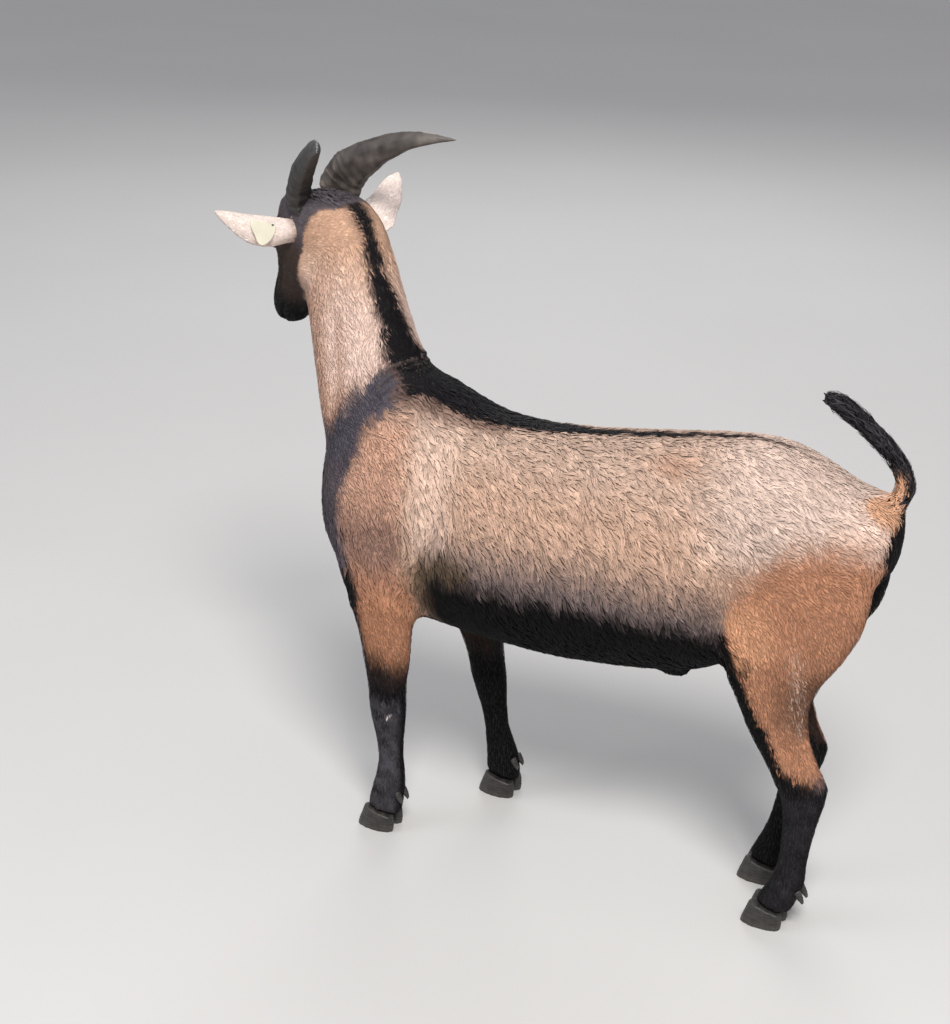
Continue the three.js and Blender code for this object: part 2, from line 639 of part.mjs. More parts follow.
for (const [name, side] of Object.entries(SIDES)) {
  const [horn] = part(hornLoft(name, 0), HORN_CUT);
  const [socket] = part(hornLoft(name, GAP), HORN_CUT);
  head = head.subtract(placedOnHead(socket));
  head = head.subtract(eyeball(side, GAP)).subtract(earLoft(name, GAP));
  const ear = earLoft(name, 0);
  place("horn_" + name, placedOnHead(horn), "horn");
  place("eye_" + name, eyeball(side, 0), "eye");
  place("ear_" + name, side > 0 ? ear.subtract(tagHole()) : ear, "ear");
}
place("ear_tag", earTag(), "tag");
place("head", head, "dark_coat");

// The part's origin is the middle of the floor under it.
const middleOfBox = new THREE.Box3().setFromObject(goat).getCenter(new THREE.Vector3());
goat.position.set(-middleOfBox.x, -middleOfBox.y, 0);

export default goat;
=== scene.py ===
"""A life-size standing goat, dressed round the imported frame: skin, coat, horns, hooves, eyes, tag."""

import math
from contextlib import contextmanager

import bmesh
import bpy
import numpy as np
from mathutils import Matrix, Vector
from mathutils.bvhtree import BVHTree
from mathutils.kdtree import KDTree


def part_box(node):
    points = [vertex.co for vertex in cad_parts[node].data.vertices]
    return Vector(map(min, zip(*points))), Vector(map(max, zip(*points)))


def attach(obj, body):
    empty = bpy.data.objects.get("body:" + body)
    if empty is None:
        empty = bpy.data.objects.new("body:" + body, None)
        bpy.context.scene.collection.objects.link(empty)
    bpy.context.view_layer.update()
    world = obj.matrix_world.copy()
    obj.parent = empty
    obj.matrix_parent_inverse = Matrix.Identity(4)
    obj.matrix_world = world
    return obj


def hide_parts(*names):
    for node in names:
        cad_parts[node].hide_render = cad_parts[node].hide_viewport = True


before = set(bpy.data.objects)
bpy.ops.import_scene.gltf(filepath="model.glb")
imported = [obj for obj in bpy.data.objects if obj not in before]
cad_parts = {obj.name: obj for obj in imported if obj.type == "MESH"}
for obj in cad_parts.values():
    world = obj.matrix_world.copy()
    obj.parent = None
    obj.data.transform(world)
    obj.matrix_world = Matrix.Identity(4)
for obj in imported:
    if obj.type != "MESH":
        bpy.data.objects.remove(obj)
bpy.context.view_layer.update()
RNG = np.random.default_rng(11)
MM = 0.001

# ---------------------------------------------------------------- places
# Two frames, both in millimetres. In the body's, x is forward, y the goat's left, z up from the
# floor. In the head's, the origin is the poll, x runs down the face, y is left, z off the forehead.

POLL = np.array([711.0, -40.0, 850.0])
HEAD_YAW, HEAD_PITCH, HEAD_ROLL = math.radians(32), math.radians(57), math.radians(1)
EYE_AT = np.array([66.0, 42.0, -12.0])
EYE_RADIUS = 13.5
SIDES = {"left": 1, "right": -1}
LEGS = ("front_left", "front_right", "hind_left", "hind_right")

turned = Matrix.Rotation(-HEAD_YAW, 3, "Z") @ Matrix.Rotation(HEAD_PITCH, 3, "Y")
TURN = np.array(turned @ Matrix.Rotation(-HEAD_ROLL, 3, "X"))
BETWEEN_EYES = sum((sum(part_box("eye_" + side), Vector()) / 2 for side in SIDES), Vector()) / 2
SHIFT = np.array(BETWEEN_EYES) - (POLL + TURN @ (EYE_AT * (1, 0, 1))) * MM


def body(points):
    return (points - SHIFT) / MM


def from_body(points):
    return np.asarray(points, float) * MM + SHIFT


def head(points):
    return (body(points) - POLL) @ TURN


def from_head(points):
    return from_body(np.asarray(points, float) @ TURN.T + POLL)


def ramp(low, high, value):
    """0 up to the low value and 1 from the high one, with a smooth rise between."""
    share = np.clip((value - low) / (high - low), 0, 1)
    return share * share * (3 - 2 * share)


def unit(vectors):
    return vectors / np.maximum(np.linalg.norm(vectors, axis=-1, keepdims=True), 1e-12)


def columns(*values):
    return np.stack(np.broadcast_arrays(*values), 1)


def along_path(points, path):
    """Distance of each point from a path, and how far along it the nearest place is, in rows."""
    path = np.asarray(path, float)
    best = np.full(len(points), np.inf)
    place = np.zeros(len(points))
    for row, (a, b) in enumerate(zip(path[:-1], path[1:])):
        leg = b - a
        share = np.clip((points - a) @ leg / (leg @ leg), 0, 1)
        away = np.linalg.norm(points - a - share[:, None] * leg, axis=1)
        closer = away < best
        best[closer] = away[closer]
        place[closer] = row + share[closer]
    return best, place


def near(points, far, close, path):
    """1 within the close distance of a path, and 0 past the far one."""
    return ramp(far, close, along_path(points, path)[0])


def folded(points):
    """The same points with those on the right side mirrored to the left."""
    return columns(points[:, 0], np.abs(points[:, 1]), points[:, 2])


def waves(points, length, seed, count=7):
    """Smooth noise from -1 to 1 or so, in waves of about the given length."""
    draw = np.random.default_rng(seed)
    ways = unit(draw.normal(size=(count, 3))) * (2 * math.pi / length)
    ways *= draw.uniform(0.7, 1.4, (count, 1))
    turns = draw.uniform(0, 2 * math.pi, count)
    return np.sin(points @ ways.T + turns).sum(1) / math.sqrt(count / 2) * 0.6


# ---------------------------------------------------------------- mesh tools


def new_object(name, data):
    thing = bpy.data.objects.new(name, data)
    bpy.context.scene.collection.objects.link(thing)
    return thing


def drop(thing):
    mesh = thing.data
    bpy.data.objects.remove(thing)
    bpy.data.meshes.remove(mesh)


def read(items, field, width, kind=float):
    values = np.empty(len(items) * width, kind)
    items.foreach_get(field, values)
    return values.reshape(-1, width)


def points_of(mesh):
    return read(mesh.vertices, "co", 3)


def edges_of(mesh):
    return read(mesh.edges, "vertices", 2, np.int32)


def normals_of(mesh):
    return read(mesh.vertex_normals, "vector", 3, np.float32).astype(float)


def set_points(mesh, points):
    mesh.vertices.foreach_set("co", np.asarray(points, np.float32).ravel())
    mesh.update()


@contextmanager
def edited(mesh, source=None):
    """A bmesh of the mesh, or of another source, that is written to the mesh at the end."""
    shape = bmesh.new()
    shape.from_mesh(source or mesh)
    yield shape
    shape.to_mesh(mesh)
    shape.free()
    mesh.update()


def relax(values, edges, amount, rounds):
    """Moves each value towards the mean of its neighbours, round after round."""
    values = np.array(values, float).reshape(len(values), -1)
    size = len(values)
    here, there = edges.T
    count = np.maximum(np.bincount(edges.ravel(), minlength=size), 1)[:, None]
    amount = np.broadcast_to(np.asarray(amount, float).reshape(-1, 1), (size, 1))
    for _ in range(rounds):
        total = np.empty_like(values)
        for column in range(values.shape[1]):
            row = values[:, column]
            total[:, column] = np.bincount(here, row[there], size) + np.bincount(there, row[here], size)
        values += amount * (total / count - values)
    return values


def relaxed(mesh, amount, rounds):
    """The mesh's points, evened out."""
    return relax(points_of(mesh), edges_of(mesh), amount, rounds)


def modified(thing, settings):
    """The mesh of an object under the given modifiers. The object itself is removed."""
    for kind, values in settings:
        modifier = thing.modifiers.new(kind, kind)
        for name, value in values.items():
            setattr(modifier, name, value)
    bpy.context.view_layer.update()
    mesh = bpy.data.meshes.new_from_object(thing.evaluated_get(bpy.context.evaluated_depsgraph_get()))
    drop(thing)
    return mesh


def grown(node, margin):
    """A welded copy of a CAD node, moved out along its normals by a margin in millimetres."""
    mesh = bpy.data.meshes.new("grown_" + node)
    with edited(mesh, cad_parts[node].data) as shape:
        bmesh.ops.remove_doubles(shape, verts=shape.verts, dist=1e-6)
        shape.normal_update()
        for vertex in shape.verts:
            vertex.co += vertex.normal * margin * MM
    return new_object(mesh.name, mesh)


def combined(things, operation):
    """One mesh from several solids."""
    settings = [
        ("BOOLEAN", {"operation": operation, "object": other, "solver": "MANIFOLD"}) for other in things[1:]
    ]
    mesh = modified(things[0], settings)
    for other in things[1:]:
        drop(other)
    return mesh


def hull_of(node):
    thing = grown(node, 0)
    with edited(thing.data) as shape:
        made = bmesh.ops.convex_hull(shape, input=shape.verts)
        spare = {g for g in made["geom_interior"] + made["geom_unused"] if isinstance(g, bmesh.types.BMVert)}
        bmesh.ops.delete(shape, geom=list(spare), context="VERTS")
        loose = [f for f in shape.faces if f not in set(made["geom"])]
        bmesh.ops.delete(shape, geom=loose, context="FACES")
    return thing


def voxel(mesh, size):
    """The mesh remade in small squares of the given size in millimetres."""
    return modified(new_object("voxel", mesh), [("REMESH", {"mode": "VOXEL", "voxel_size": size * MM})])


# For nodes that are remade one by one: the size of their squares, and the rounds that even them out.
REMADE = {"ear_tag": (0.9, 3), "ear": (1.2, 5), "horn": (1.5, 10), "claw": (1.3, 6)}


def node_mesh(node):
    """A CAD node remade in small squares, and its points evened out."""
    size, rounds = next(row for kind, row in REMADE.items() if kind in node)
    mesh = voxel(grown(node, 0).data, size)
    return mesh, relaxed(mesh, 0.5, rounds)


def refine(mesh, chosen):
    """Divides the faces whose corners are all chosen into four."""
    with edited(mesh) as shape:
        shape.verts.ensure_lookup_table()
        edges = {e for f in shape.faces if all(chosen[v.index] for v in f.verts) for e in f.edges}
        bmesh.ops.subdivide_edges(shape, edges=list(edges), cuts=1, use_grid_fill=True, smooth=0)


# ---------------------------------------------------------------- the skin

FLESH = ["trunk", "neck", "head", "tail"]
FLESH += [f"leg_{leg}_{part}" for leg in LEGS for part in ("upper", "lower")]
ALL_FLESH = FLESH + ["ear_left", "ear_right"]


def hair(depth, length, width, cover, rounded=0.0):
    """The coat's depth over the skin and the length and width of its tufts, in millimetres, how many
    times over they cover the skin, and how far the solids' facets are rounded off."""
    return {"depth": depth, "length": length, "width": width, "cover": cover, "round": rounded}


COAT = {
    "trunk": hair(2.7, 16, 2.6, 2.6, 1.0),
    "neck": hair(2.2, 9.5, 1.35, 1.75, 0.8),
    "head": hair(1.1, 5, 1.0, 1.2, 0.16),
    "tail": hair(6.0, 26, 1.6, 6.0, 0.06),
    "upper": hair(1.7, 8, 1.35, 1.4, 0.22),
    "lower": hair(1.0, 6, 1.25, 1.35, 0.08),
    "ear": hair(0.3, 4.5, 0.8, 0.9, 0.1),
}
KINDS = np.array([next(k for k in COAT if k in node) for node in ALL_FLESH])
SHORT_COAT = hair(1.7, 8.5, 1.45, 1.5)
SLEEK_COAT = hair(1.8, 13, 2.3, 2.2)
FINE_COAT = hair(0.7, 3.2, 0.9, 1.1)
SOFT_COAT = hair(2.4, 10, 1.6, 1.9)
POLL_COAT = hair(4.5, 15, 1.5, 2.8)
SEAT_COAT = hair(2.6, 12, 1.3, 2.6)
BRUSH_COAT = hair(7.0, 30, 1.6, 7.0)
# Where the coat differs from the rest of its kind: how far the place reaches from a path on the
# left side (in the head's frame for the head), and the coat there. The right side mirrors it.
WRINKLED = [(522, 8, 645), (532, 25, 645), (548, 40, 640)]
ZONES = [
    ("trunk", 110, SLEEK_COAT, [(40, 60, 605), (-20, 60, 590), (-90, 45, 570)]),
    ("trunk", 95, SHORT_COAT, [(20, 90, 440), (-50, 85, 470), (-60, 85, 380)]),
    ("trunk", 55, SOFT_COAT, [(560, 90, 540), (545, 98, 440)]),
    ("trunk", 40, SHORT_COAT, [(560, 30, 655), (610, 70, 580), (625, 80, 470)]),
    ("trunk", 28, FINE_COAT, WRINKLED),
    ("neck", 28, FINE_COAT, WRINKLED),
    ("trunk", 40, SHORT_COAT, [(440, 100, 370), (380, 90, 330)]),
    ("trunk", 30, SOFT_COAT, [(-90, 30, 585), (-110, 30, 570)]),
    ("head", 17, SEAT_COAT, [(-24, 14, -2), (-30, 32, -8), (-22, 48, -14), (2, 54, -22)]),
    ("head", 32, POLL_COAT, [(-10, 0, 15), (-12, 0, -4), (-18, 0, -28)]),
    ("tail", 30, BRUSH_COAT, [(-66, 0, 673), (-30, 0, 692), (-8, 0, 699)]),
]


def flesh_at(points):
    """The row in ALL_FLESH of the CAD node nearest to each point."""
    corners, faces, owner = [], [], []
    for row, node in enumerate(ALL_FLESH):
        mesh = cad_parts[node].data
        start = len(corners)
        corners += [v.co.copy() for v in mesh.vertices]
        faces += [[start + i for i in p.vertices] for p in mesh.polygons]
        owner += [row] * len(mesh.polygons)
    tree = BVHTree.FromPolygons(corners, faces)
    return np.array([owner[tree.find_nearest(Vector(p))[2]] for p in points])


def by_kind(rows, value):
    return np.array([COAT[kind][value] for kind in KINDS])[rows]


def coat_size(points, rows, value):
    """The coat's depth, or its tufts' length, width or cover, before it is evened out."""
    sizes = by_kind(rows, value).astype(float)
    for kind, reach, coat, path in ZONES:
        spot = head(points) if kind == "head" else body(points)
        share = near(folded(spot), reach, reach * 0.6, path) * (KINDS[rows] == kind)
        sizes = sizes * (1 - share) + coat[value] * share
    return sizes


def plugs():
    """Fillers for the head's sockets, so that the skin runs unbroken under ears, horns and eyes."""
    parts = [grown("eye_" + side, 0.5) for side in SIDES]
    for node in [f"{what}_{side}" for what in ("ear", "horn") for side in SIDES]:
        inner = combined([grown(node, 0.6), hull_of("head")], "INTERSECT")
        parts.append(new_object("plug_" + node, inner))
    return parts


# Hollows (positive depth) and swellings (negative) of the skin: the radius, the depth and the path,
# in millimetres. They are made on both sides, apart from those that are named as one-sided.
BODY_FORMS = {
    "behind the shoulder": (22, 4.5, [(455, 100, 560), (450, 108, 480), (468, 108, 400)]),
    "elbow fold": (8, 5, [(470, 108, 400), (462, 100, 360), (470, 90, 320)]),
    "shoulder blade": (26, -1.5, [(520, 70, 600), (560, 96, 520), (590, 96, 470)]),
    "front of shoulder": (9, 2.5, [(560, 66, 610), (600, 80, 545), (612, 88, 490)]),
    "point of shoulder": (20, -2, [(598, 92, 470), (590, 96, 440)]),
    "forearm muscle": (12, -1.5, [(540, 104, 400), (520, 104, 330)]),
    "arm fold": (10, 2, [(585, 98, 420), (540, 108, 375), (500, 104, 350)]),
    "flank hollow": (34, 5, [(110, 96, 575), (90, 105, 530)]),
    "hip bone": (16, -3, [(62, 70, 606), (50, 72, 598)]),
    "pin bone": (14, -2.5, [(-112, 42, 560), (-106, 44, 552)]),
    "croup slope": (20, 2.5, [(10, 60, 605), (-60, 55, 585)]),
    "stifle fold": (9, 4, [(64, 92, 440), (66, 84, 390), (60, 78, 350)]),
    "thigh groove": (14, 3, [(-60, 82, 500), (-70, 84, 420), (-52, 82, 350)]),
    "stifle": (16, -2, [(50, 92, 400), (40, 92, 372)]),
    "ribs": (16, -1, [(400, 120, 500), (380, 122, 420)]),
    "hock hollow left": (8, 4, [(-32, 82, 262), (-54, 82, 238)]),
    "hock hollow right": (8, 4, [(0, -74, 262), (-22, -72, 238)]),
    "jugular groove": (12, 3, [(640, 36, 700), (625, 52, 620), (632, 56, 560)]),
}
# Wrinkles where the raised neck meets the withers: crests that run from the ridge down both sides.
WRINKLES = [
    [
        (529 - 5 * step, 7, 661 - 9 * step),
        (534 - 5 * step, 18, 658 - 9 * step),
        (543 - 4 * step, 31, 656 - 9 * step),
        (555 - 5 * step, 42, 651 - 10 * step),
        (568 - 5 * step, 54, 638 - 10 * step),
    ]
    for step in range(4)
]
BODY_FORMS |= {f"wrinkle {number}": (3.6, -5.0, path) for number, path in enumerate(WRINKLES)}
HEAD_FORMS = {
    "nostril": (3.2, 9, [(200, 8, -36), (195, 14, -27), (187, 17, -23)]),
    "nostril fold": (3, 1.8, [(194, 22, -34), (183, 23, -26), (175, 18, -18)]),
    "nose pad": (6, -1.2, [(196, 8, -24), (200, 0, -30)]),
    "philtrum": (1.7, 2.5, [(205, 0, -34), (201, 0, -48)]),
    "mouth": (2.1, 5, [(203, 0, -49), (197, 13, -50), (179, 25, -51), (158, 30, -54), (146, 32, -59)]),
    "lower lip": (4, -1.2, [(194, 10, -55), (176, 21, -57), (158, 27, -60)]),
    "chin crease": (3.5, 1.5, [(188, 12, -60), (172, 20, -64), (156, 23, -67)]),
    "nasal bone edge": (6, 2.2, [(150, 21, -16), (110, 24, -12), (84, 28, -8)]),
    "below the eye": (8, 3, [(80, 50, -32), (104, 42, -36), (124, 36, -34)]),
    "face crest": (6, -1.8, [(74, 54, -42), (104, 44, -50), (130, 36, -48)]),
    "temple": (9, 3, [(40, 46, -20), (26, 46, -30)]),
    "jaw edge": (6, 2, [(84, 36, -96), (112, 30, -84), (136, 24, -72)]),
    "cheek muscle": (14, -1.5, [(44, 46, -72), (66, 44, -84)]),
    "lip swelling": (7, -1, [(190, 19, -42), (170, 27, -44)]),
    "brow ridge": (5, -1.8, [(46, 48, 0), (60, 52, 7), (78, 50, 4), (88, 46, -4)]),
    "brow hollow": (8, 1.5, [(52, 40, 12), (70, 38, 12)]),
    "forehead hollow": (14, 1.5, [(60, 0, 8), (84, 0, 2)]),
    "horn seat": (8, -4, [(-20, 16, -2), (-24, 30, -7), (-18, 44, -13)]),
    "left ear hole": (7, 9, [(27, 50, -33), (24, 60, -31)]),
    "right ear hole": (7, 9, [(26, -50, -38), (25, -58, -33)]),
}
ONE_SIDED = {"hock hollow left", "hock hollow right", "left ear hole", "right ear hole"}


def shaped(points, normals):
    """The skin with its hollows, swellings and folds."""
    move = np.zeros(len(points))
    for local, forms in ((body(points), BODY_FORMS), (head(points), HEAD_FORMS)):
        for name, (radius, depth, path) in forms.items():
            for side in (1,) if name in ONE_SIDED else (1, -1):
                away, _ = along_path(local * (1, side, 1), path)
                move -= depth * np.exp(-((away / radius) ** 2))
    return points + normals * move[:, None] * MM


# The opening between the lids: half its length and height, how thick the rim is and how far the ball
# lies back in it, how soft its edge is, how far the lids spread into the face, and its tilt and place.
LID = {"long": 12.0, "high": 5.0, "rim": 1.7, "sunk": 4.5, "soft": 0.9, "spread": 10.0}
LID |= {"tilt": 0.1, "up": 0.4}


def eye_axes(side):
    """Unit vectors at an eye, in the head's frame: towards its front corner, up, and straight out."""
    out = unit(np.array([0.16, side * 0.93, 0.30]))
    front = np.array([0.95, side * 0.02, 0.24])
    front = unit(front - (front @ out) * out)
    up = np.cross(out, front) * (1 if side < 0 else -1)
    return front, up, out


def eye_places(local, side):
    """Places round an eye: along the lids, up from them, outwards, and the distance from its centre."""
    front, up, out = eye_axes(side)
    away = local - EYE_AT * (1, side, 1)
    return away @ front, away @ up, away @ out, np.linalg.norm(away, axis=1)


def lid_half(along):
    return LID["high"] * np.clip(1 - (along / LID["long"]) ** 2, 0, None) ** 0.75


def lid_gap(along, up):
    """How far inside the opening between the lids a place is. Past the lids' edge it is negative."""
    return lid_half(along) - np.abs(up + LID["up"] + LID["tilt"] * along)


def lidded(points):
    """The skin wrapped over the two eyeballs, with an almond-shaped opening to each."""
    local = head(points)
    for side in (1, -1):
        along, up, out, far = eye_places(local, side)
        around = (far < EYE_RADIUS + LID["spread"]) & (out > 0)
        inside = lid_gap(along, up)
        opening = ramp(-LID["soft"] / 2, LID["soft"] / 2, inside)
        crease = 1.3 * np.exp(-((inside + 5) / 1.3) ** 2) * (up > 0)
        crease += 0.8 * np.exp(-((inside + 6.5) / 1.6) ** 2) * (up < 0)
        roll = 0.5 * np.exp(-((inside + 1.4) / 1.1) ** 2)
        wanted = EYE_RADIUS + LID["rim"] - crease + roll
        # Past the rim, the lid runs out into the face.
        free = ramp(0, LID["spread"], -inside)
        lid = np.maximum(wanted, far * free + wanted * (1 - free))
        radius = lid * (1 - opening) + (EYE_RADIUS - LID["sunk"]) * opening
        share = radius / far
        centre = EYE_AT * (1, side, 1)
        local[around] = centre + (local[around] - centre) * share[around, None]
    return from_head(local)


def round_eyes(local, reach):
    """The points within the given reach of the eyeballs."""
    return np.any([eye_places(local, side)[3] < EYE_RADIUS + reach for side in (1, -1)], axis=0)


def refined_head(mesh, chosen):
    """Refines the mesh at the chosen points, and evens out the head."""
    refine(mesh, chosen)
    local = head(points_of(mesh))
    fine = 0.5 * ((local[:, 0] > -30) & (local[:, 2] > -125))
    set_points(mesh, relaxed(mesh, fine, 3))


WELD = 0.4  # how far the flesh solids are grown, in millimetres, so that they join across the cuts
SKIN_VOXEL = 4.2


def make_flesh():
    """The flesh as one closed shell: evened out, and finer at the head and the withers' wrinkles."""
    solids = [grown(node, WELD) for node in FLESH] + plugs()
    mesh = voxel(combined(solids, "UNION"), SKIN_VOXEL)
    rounding = relax(by_kind(flesh_at(points_of(mesh)), "round"), edges_of(mesh), 0.5, 12)[:, 0]
    # Folds where the legs leave the trunk stay sharper than the open barrel.
    set_points(mesh, relaxed(mesh, 0.55 * rounding, 70))
    points = points_of(mesh)
    local = head(points)
    chosen = (local[:, 0] > -25) & (np.abs(local[:, 1]) < 75) & (local[:, 2] > -120)
    for path in WRINKLES:
        chosen |= along_path(folded(body(points)), path)[0] < 9
    refined_head(mesh, chosen)
    local = head(points_of(mesh))
    muzzle = (local[:, 0] > 150) & (local[:, 2] > -75) & (local[:, 0] < 230)
    refined_head(mesh, muzzle | round_eyes(local, 11))
    return mesh


def make_skin():
    """The flesh sunk by the coat's depth and shaped, with the ears joined on."""
    mesh = make_flesh()
    edges = edges_of(mesh)
    points = points_of(mesh)
    depth = relax(coat_size(points, flesh_at(points), "depth"), edges, 0.5, 10)
    normals = normals_of(mesh)
    set_points(mesh, shaped(points - normals * (depth + WELD) * MM, normals))
    points = lidded(points_of(mesh))
    set_points(mesh, relax(points, edges, 0.35 * round_eyes(head(points), 12), 2))
    parts = [new_object("skin_body", mesh)]
    for side in SIDES:
        ear, points = node_mesh("ear_" + side)
        set_points(ear, points)
        parts.append(new_object("skin_ear_" + side, ear))
    mesh = combined(parts, "UNION")
    with edited(mesh) as shape:
        bmesh.ops.triangulate(shape, faces=shape.faces)
    return mesh


# ---------------------------------------------------------------- the lie of the coat

TAIL_LINE = np.array([
    (-84, 0, 560), (-110, 0, 572), (-127, 0, 598), (-118, 0, 625), (-95, 0, 649), (-65, 0, 673),
    (-34, 0, 692), (-9, 0, 698)], float)
# The way out of each ear's cup, in the head's frame.
EAR_OPEN = {"left": (0.73, -0.42, 0.5), "right": (0.93, 0.1, 0.3)}


def ear_axes(side):
    """An ear's root and tip, from the CAD node's ends, and the unit way out of its cup."""
    corners = np.array([v.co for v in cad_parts["ear_" + side].data.vertices])
    order = np.argsort(np.linalg.norm(head(corners), axis=1))
    return corners[order[:12]].mean(0), corners[order[-4:]].mean(0), unit(TURN @ np.array(EAR_OPEN[side]))


def lie_of(points, rows):
    """The way the hair lies at each point of the skin, before it is turned into the surface."""
    x, y, z = body(points).T
    outward = np.sign(y) * ramp(2, 30, np.abs(y))
    droop = 22 + 20 * ramp(590, 500, z) + 20 * ramp(500, 420, z)
    droop += 26 * np.exp(-(((x - 480) / 55) ** 2)) * ramp(610, 560, z)
    droop = np.radians(droop - 12 * ramp(60, -20, x))
    ahead, left, off = head(points).T
    cheek, muzzle = ramp(-10, -50, off), ramp(150, 185, ahead)
    face = columns(-1 + 0.25 * cheek, 0.25 * np.sign(left) * (1 - cheek), -0.55 * cheek - 0.3 * muzzle)
    legs = np.diff(TAIL_LINE, axis=0)
    place = along_path(body(points), TAIL_LINE)[1].astype(int)
    ways = {
        "trunk": columns(-np.cos(droop), 0.32 * outward, -np.sin(droop)),
        "neck": columns(-0.42, 0.12 * outward, -0.9),
        "upper": columns(-0.34, 0 * x, -0.94),
        "lower": columns(-0.16, 0 * x, -1),
        "head": face @ TURN.T,
        "tail": legs[np.clip(place, 0, len(legs) - 1)],
    }
    total = np.zeros_like(points)
    for kind, way in ways.items():
        mine = KINDS[rows] == kind
        total[mine] = way[mine]
    for side in SIDES:
        root, tip, _ = ear_axes(side)
        total[rows == ALL_FLESH.index("ear_" + side)] = tip - root
    return unit(total)


# ---------------------------------------------------------------- markings

INK = {
    "back": (0.395, 0.277, 0.216),
    "barrel": (0.412, 0.266, 0.194),
    "low": (0.116, 0.088, 0.085),
    "light": (0.56, 0.40, 0.32),
    "rump": (0.472, 0.355, 0.298),
    "white": (0.64, 0.44, 0.36),
    "orange": (0.366, 0.174, 0.101),
    "amber": (0.53, 0.27, 0.155),
    "gaskin": (0.118, 0.058, 0.037),
    "shoulder": (0.447, 0.257, 0.182),
    "smoke": (0.235, 0.137, 0.105),
    "elbow_shade": (0.075, 0.05, 0.03),
    "neck": (0.615, 0.448, 0.378),
    "neck_top": (0.53, 0.325, 0.22),
    "nape": (0.006, 0.005, 0.006),
    "band": (0.064, 0.057, 0.071),
    "brown": (0.12, 0.07, 0.055),
    # crest: a painted highlight along the wrinkles' crests, where light catches the folds
    "crest": (0.115, 0.088, 0.08),
    "black": (0.003, 0.0025, 0.003),
    "grey": (0.063, 0.057, 0.067),
    "forearm": (0.34, 0.16, 0.092),
    "shin": (0.013, 0.008, 0.007),
    "cheek": (0.052, 0.034, 0.027),
    "cap": (0.102, 0.087, 0.098),
    "tan": (0.22, 0.13, 0.085),
    "ear": (0.81, 0.675, 0.615),
    "ear_root": (0.36, 0.22, 0.16),
    "ear_cup": (0.66, 0.47, 0.40),
    "dock": (0.53, 0.29, 0.18),
    "scar": (0.62, 0.55, 0.52),
}


def blend(low, high, share):
    """Colours between two others, by a share that is kept between 0 and 1."""
    return low + (np.asarray(high) - low) * np.clip(share, 0, 1)[:, None]


def curve(at, rows):
    """Straight pieces through (place, value) rows."""
    places, values = np.array(sorted(rows), float).T
    return np.interp(at, places, values)


def ahead_of(path, x, z):
    """How far ahead of a path a place is, at its own height."""
    return x - curve(z, [(up, forward) for forward, _, up in path])


# Edges and middle lines of the markings. In the body's frame they are given for the left side.
BELLY_EDGE = [(452, 398), (397, 402), (345, 406), (259, 412), (205, 412), (154, 406), (106, 404)]
BELLY_EDGE += [(85, 400), (40, 360)]
THIGH_EDGE = [(75, 330), (60, 395), (50, 450), (45, 467), (23, 496), (1, 516), (-27, 531)]
THIGH_EDGE += [(-61, 539), (-94, 537), (-120, 526)]
BAND = [(500, 16, 655), (522, 34, 646), (550, 50, 632), (575, 58, 608), (597, 66, 580), (616, 72, 545)]
# The front of the shoulder, as place forward by height: the chest before it is dark.
CHEST_EDGE = [(600, 566), (560, 575), (530, 581), (490, 598), (451, 605), (421, 594), (387, 583)]
CHEST_EDGE += [(356, 569), (330, 566)]
# The dark line down the neck, and half its width at each of its rows.
NAPE = [(652, -20, 858), (636, -17, 848), (608, -3, 812), (588, 10, 762), (571, 12, 727)]
NAPE += [(556, 13, 697), (548, 16, 668), (535, 10, 655)]
NAPE_HALF = [14, 11, 10, 11, 15, 19, 25, 32]
# Half the width of the dark line down the back, by place forward.
BACK_HALF = [(-100, -5), (-75, -3), (17, 0), (100, 4), (187, 8), (240, 9), (292, 12), (343, 16)]
BACK_HALF += [(395, 23), (430, 31), (460, 37), (500, 43), (540, 45)]
# Half the width of the dark cleft between the thighs, by height.
CLEFT_HALF = [(600, 12), (571, 24), (557, 31), (538, 38), (512, 34), (484, 20), (440, 14), (390, 12)]
STIFLE = [(62, 88, 395), (54, 88, 370), (28, 86, 320), (8, 84, 285), (-10, 83, 250), (-22, 82, 225)]
SHIN = [(574, 100, 380), (568, 100, 329), (562, 96, 284), (556, 96, 240)]
# The lower edge of the dark face in the head's frame, as height off the forehead by place ahead.
FACE_EDGE = [(-60, -57), (-30, -58), (-10, -50), (16, -59), (43, -70), (57, -76), (97, -84)]
FACE_EDGE += [(145, -76), (170, -90)]
SOFT_TAN = [(40, 30, 0), (90, 30, -6), (140, 22, -16), (165, 20, -20)]


FORE_SOCK, HIND_SOCK = 222, 226  # the height of the black on the lower legs


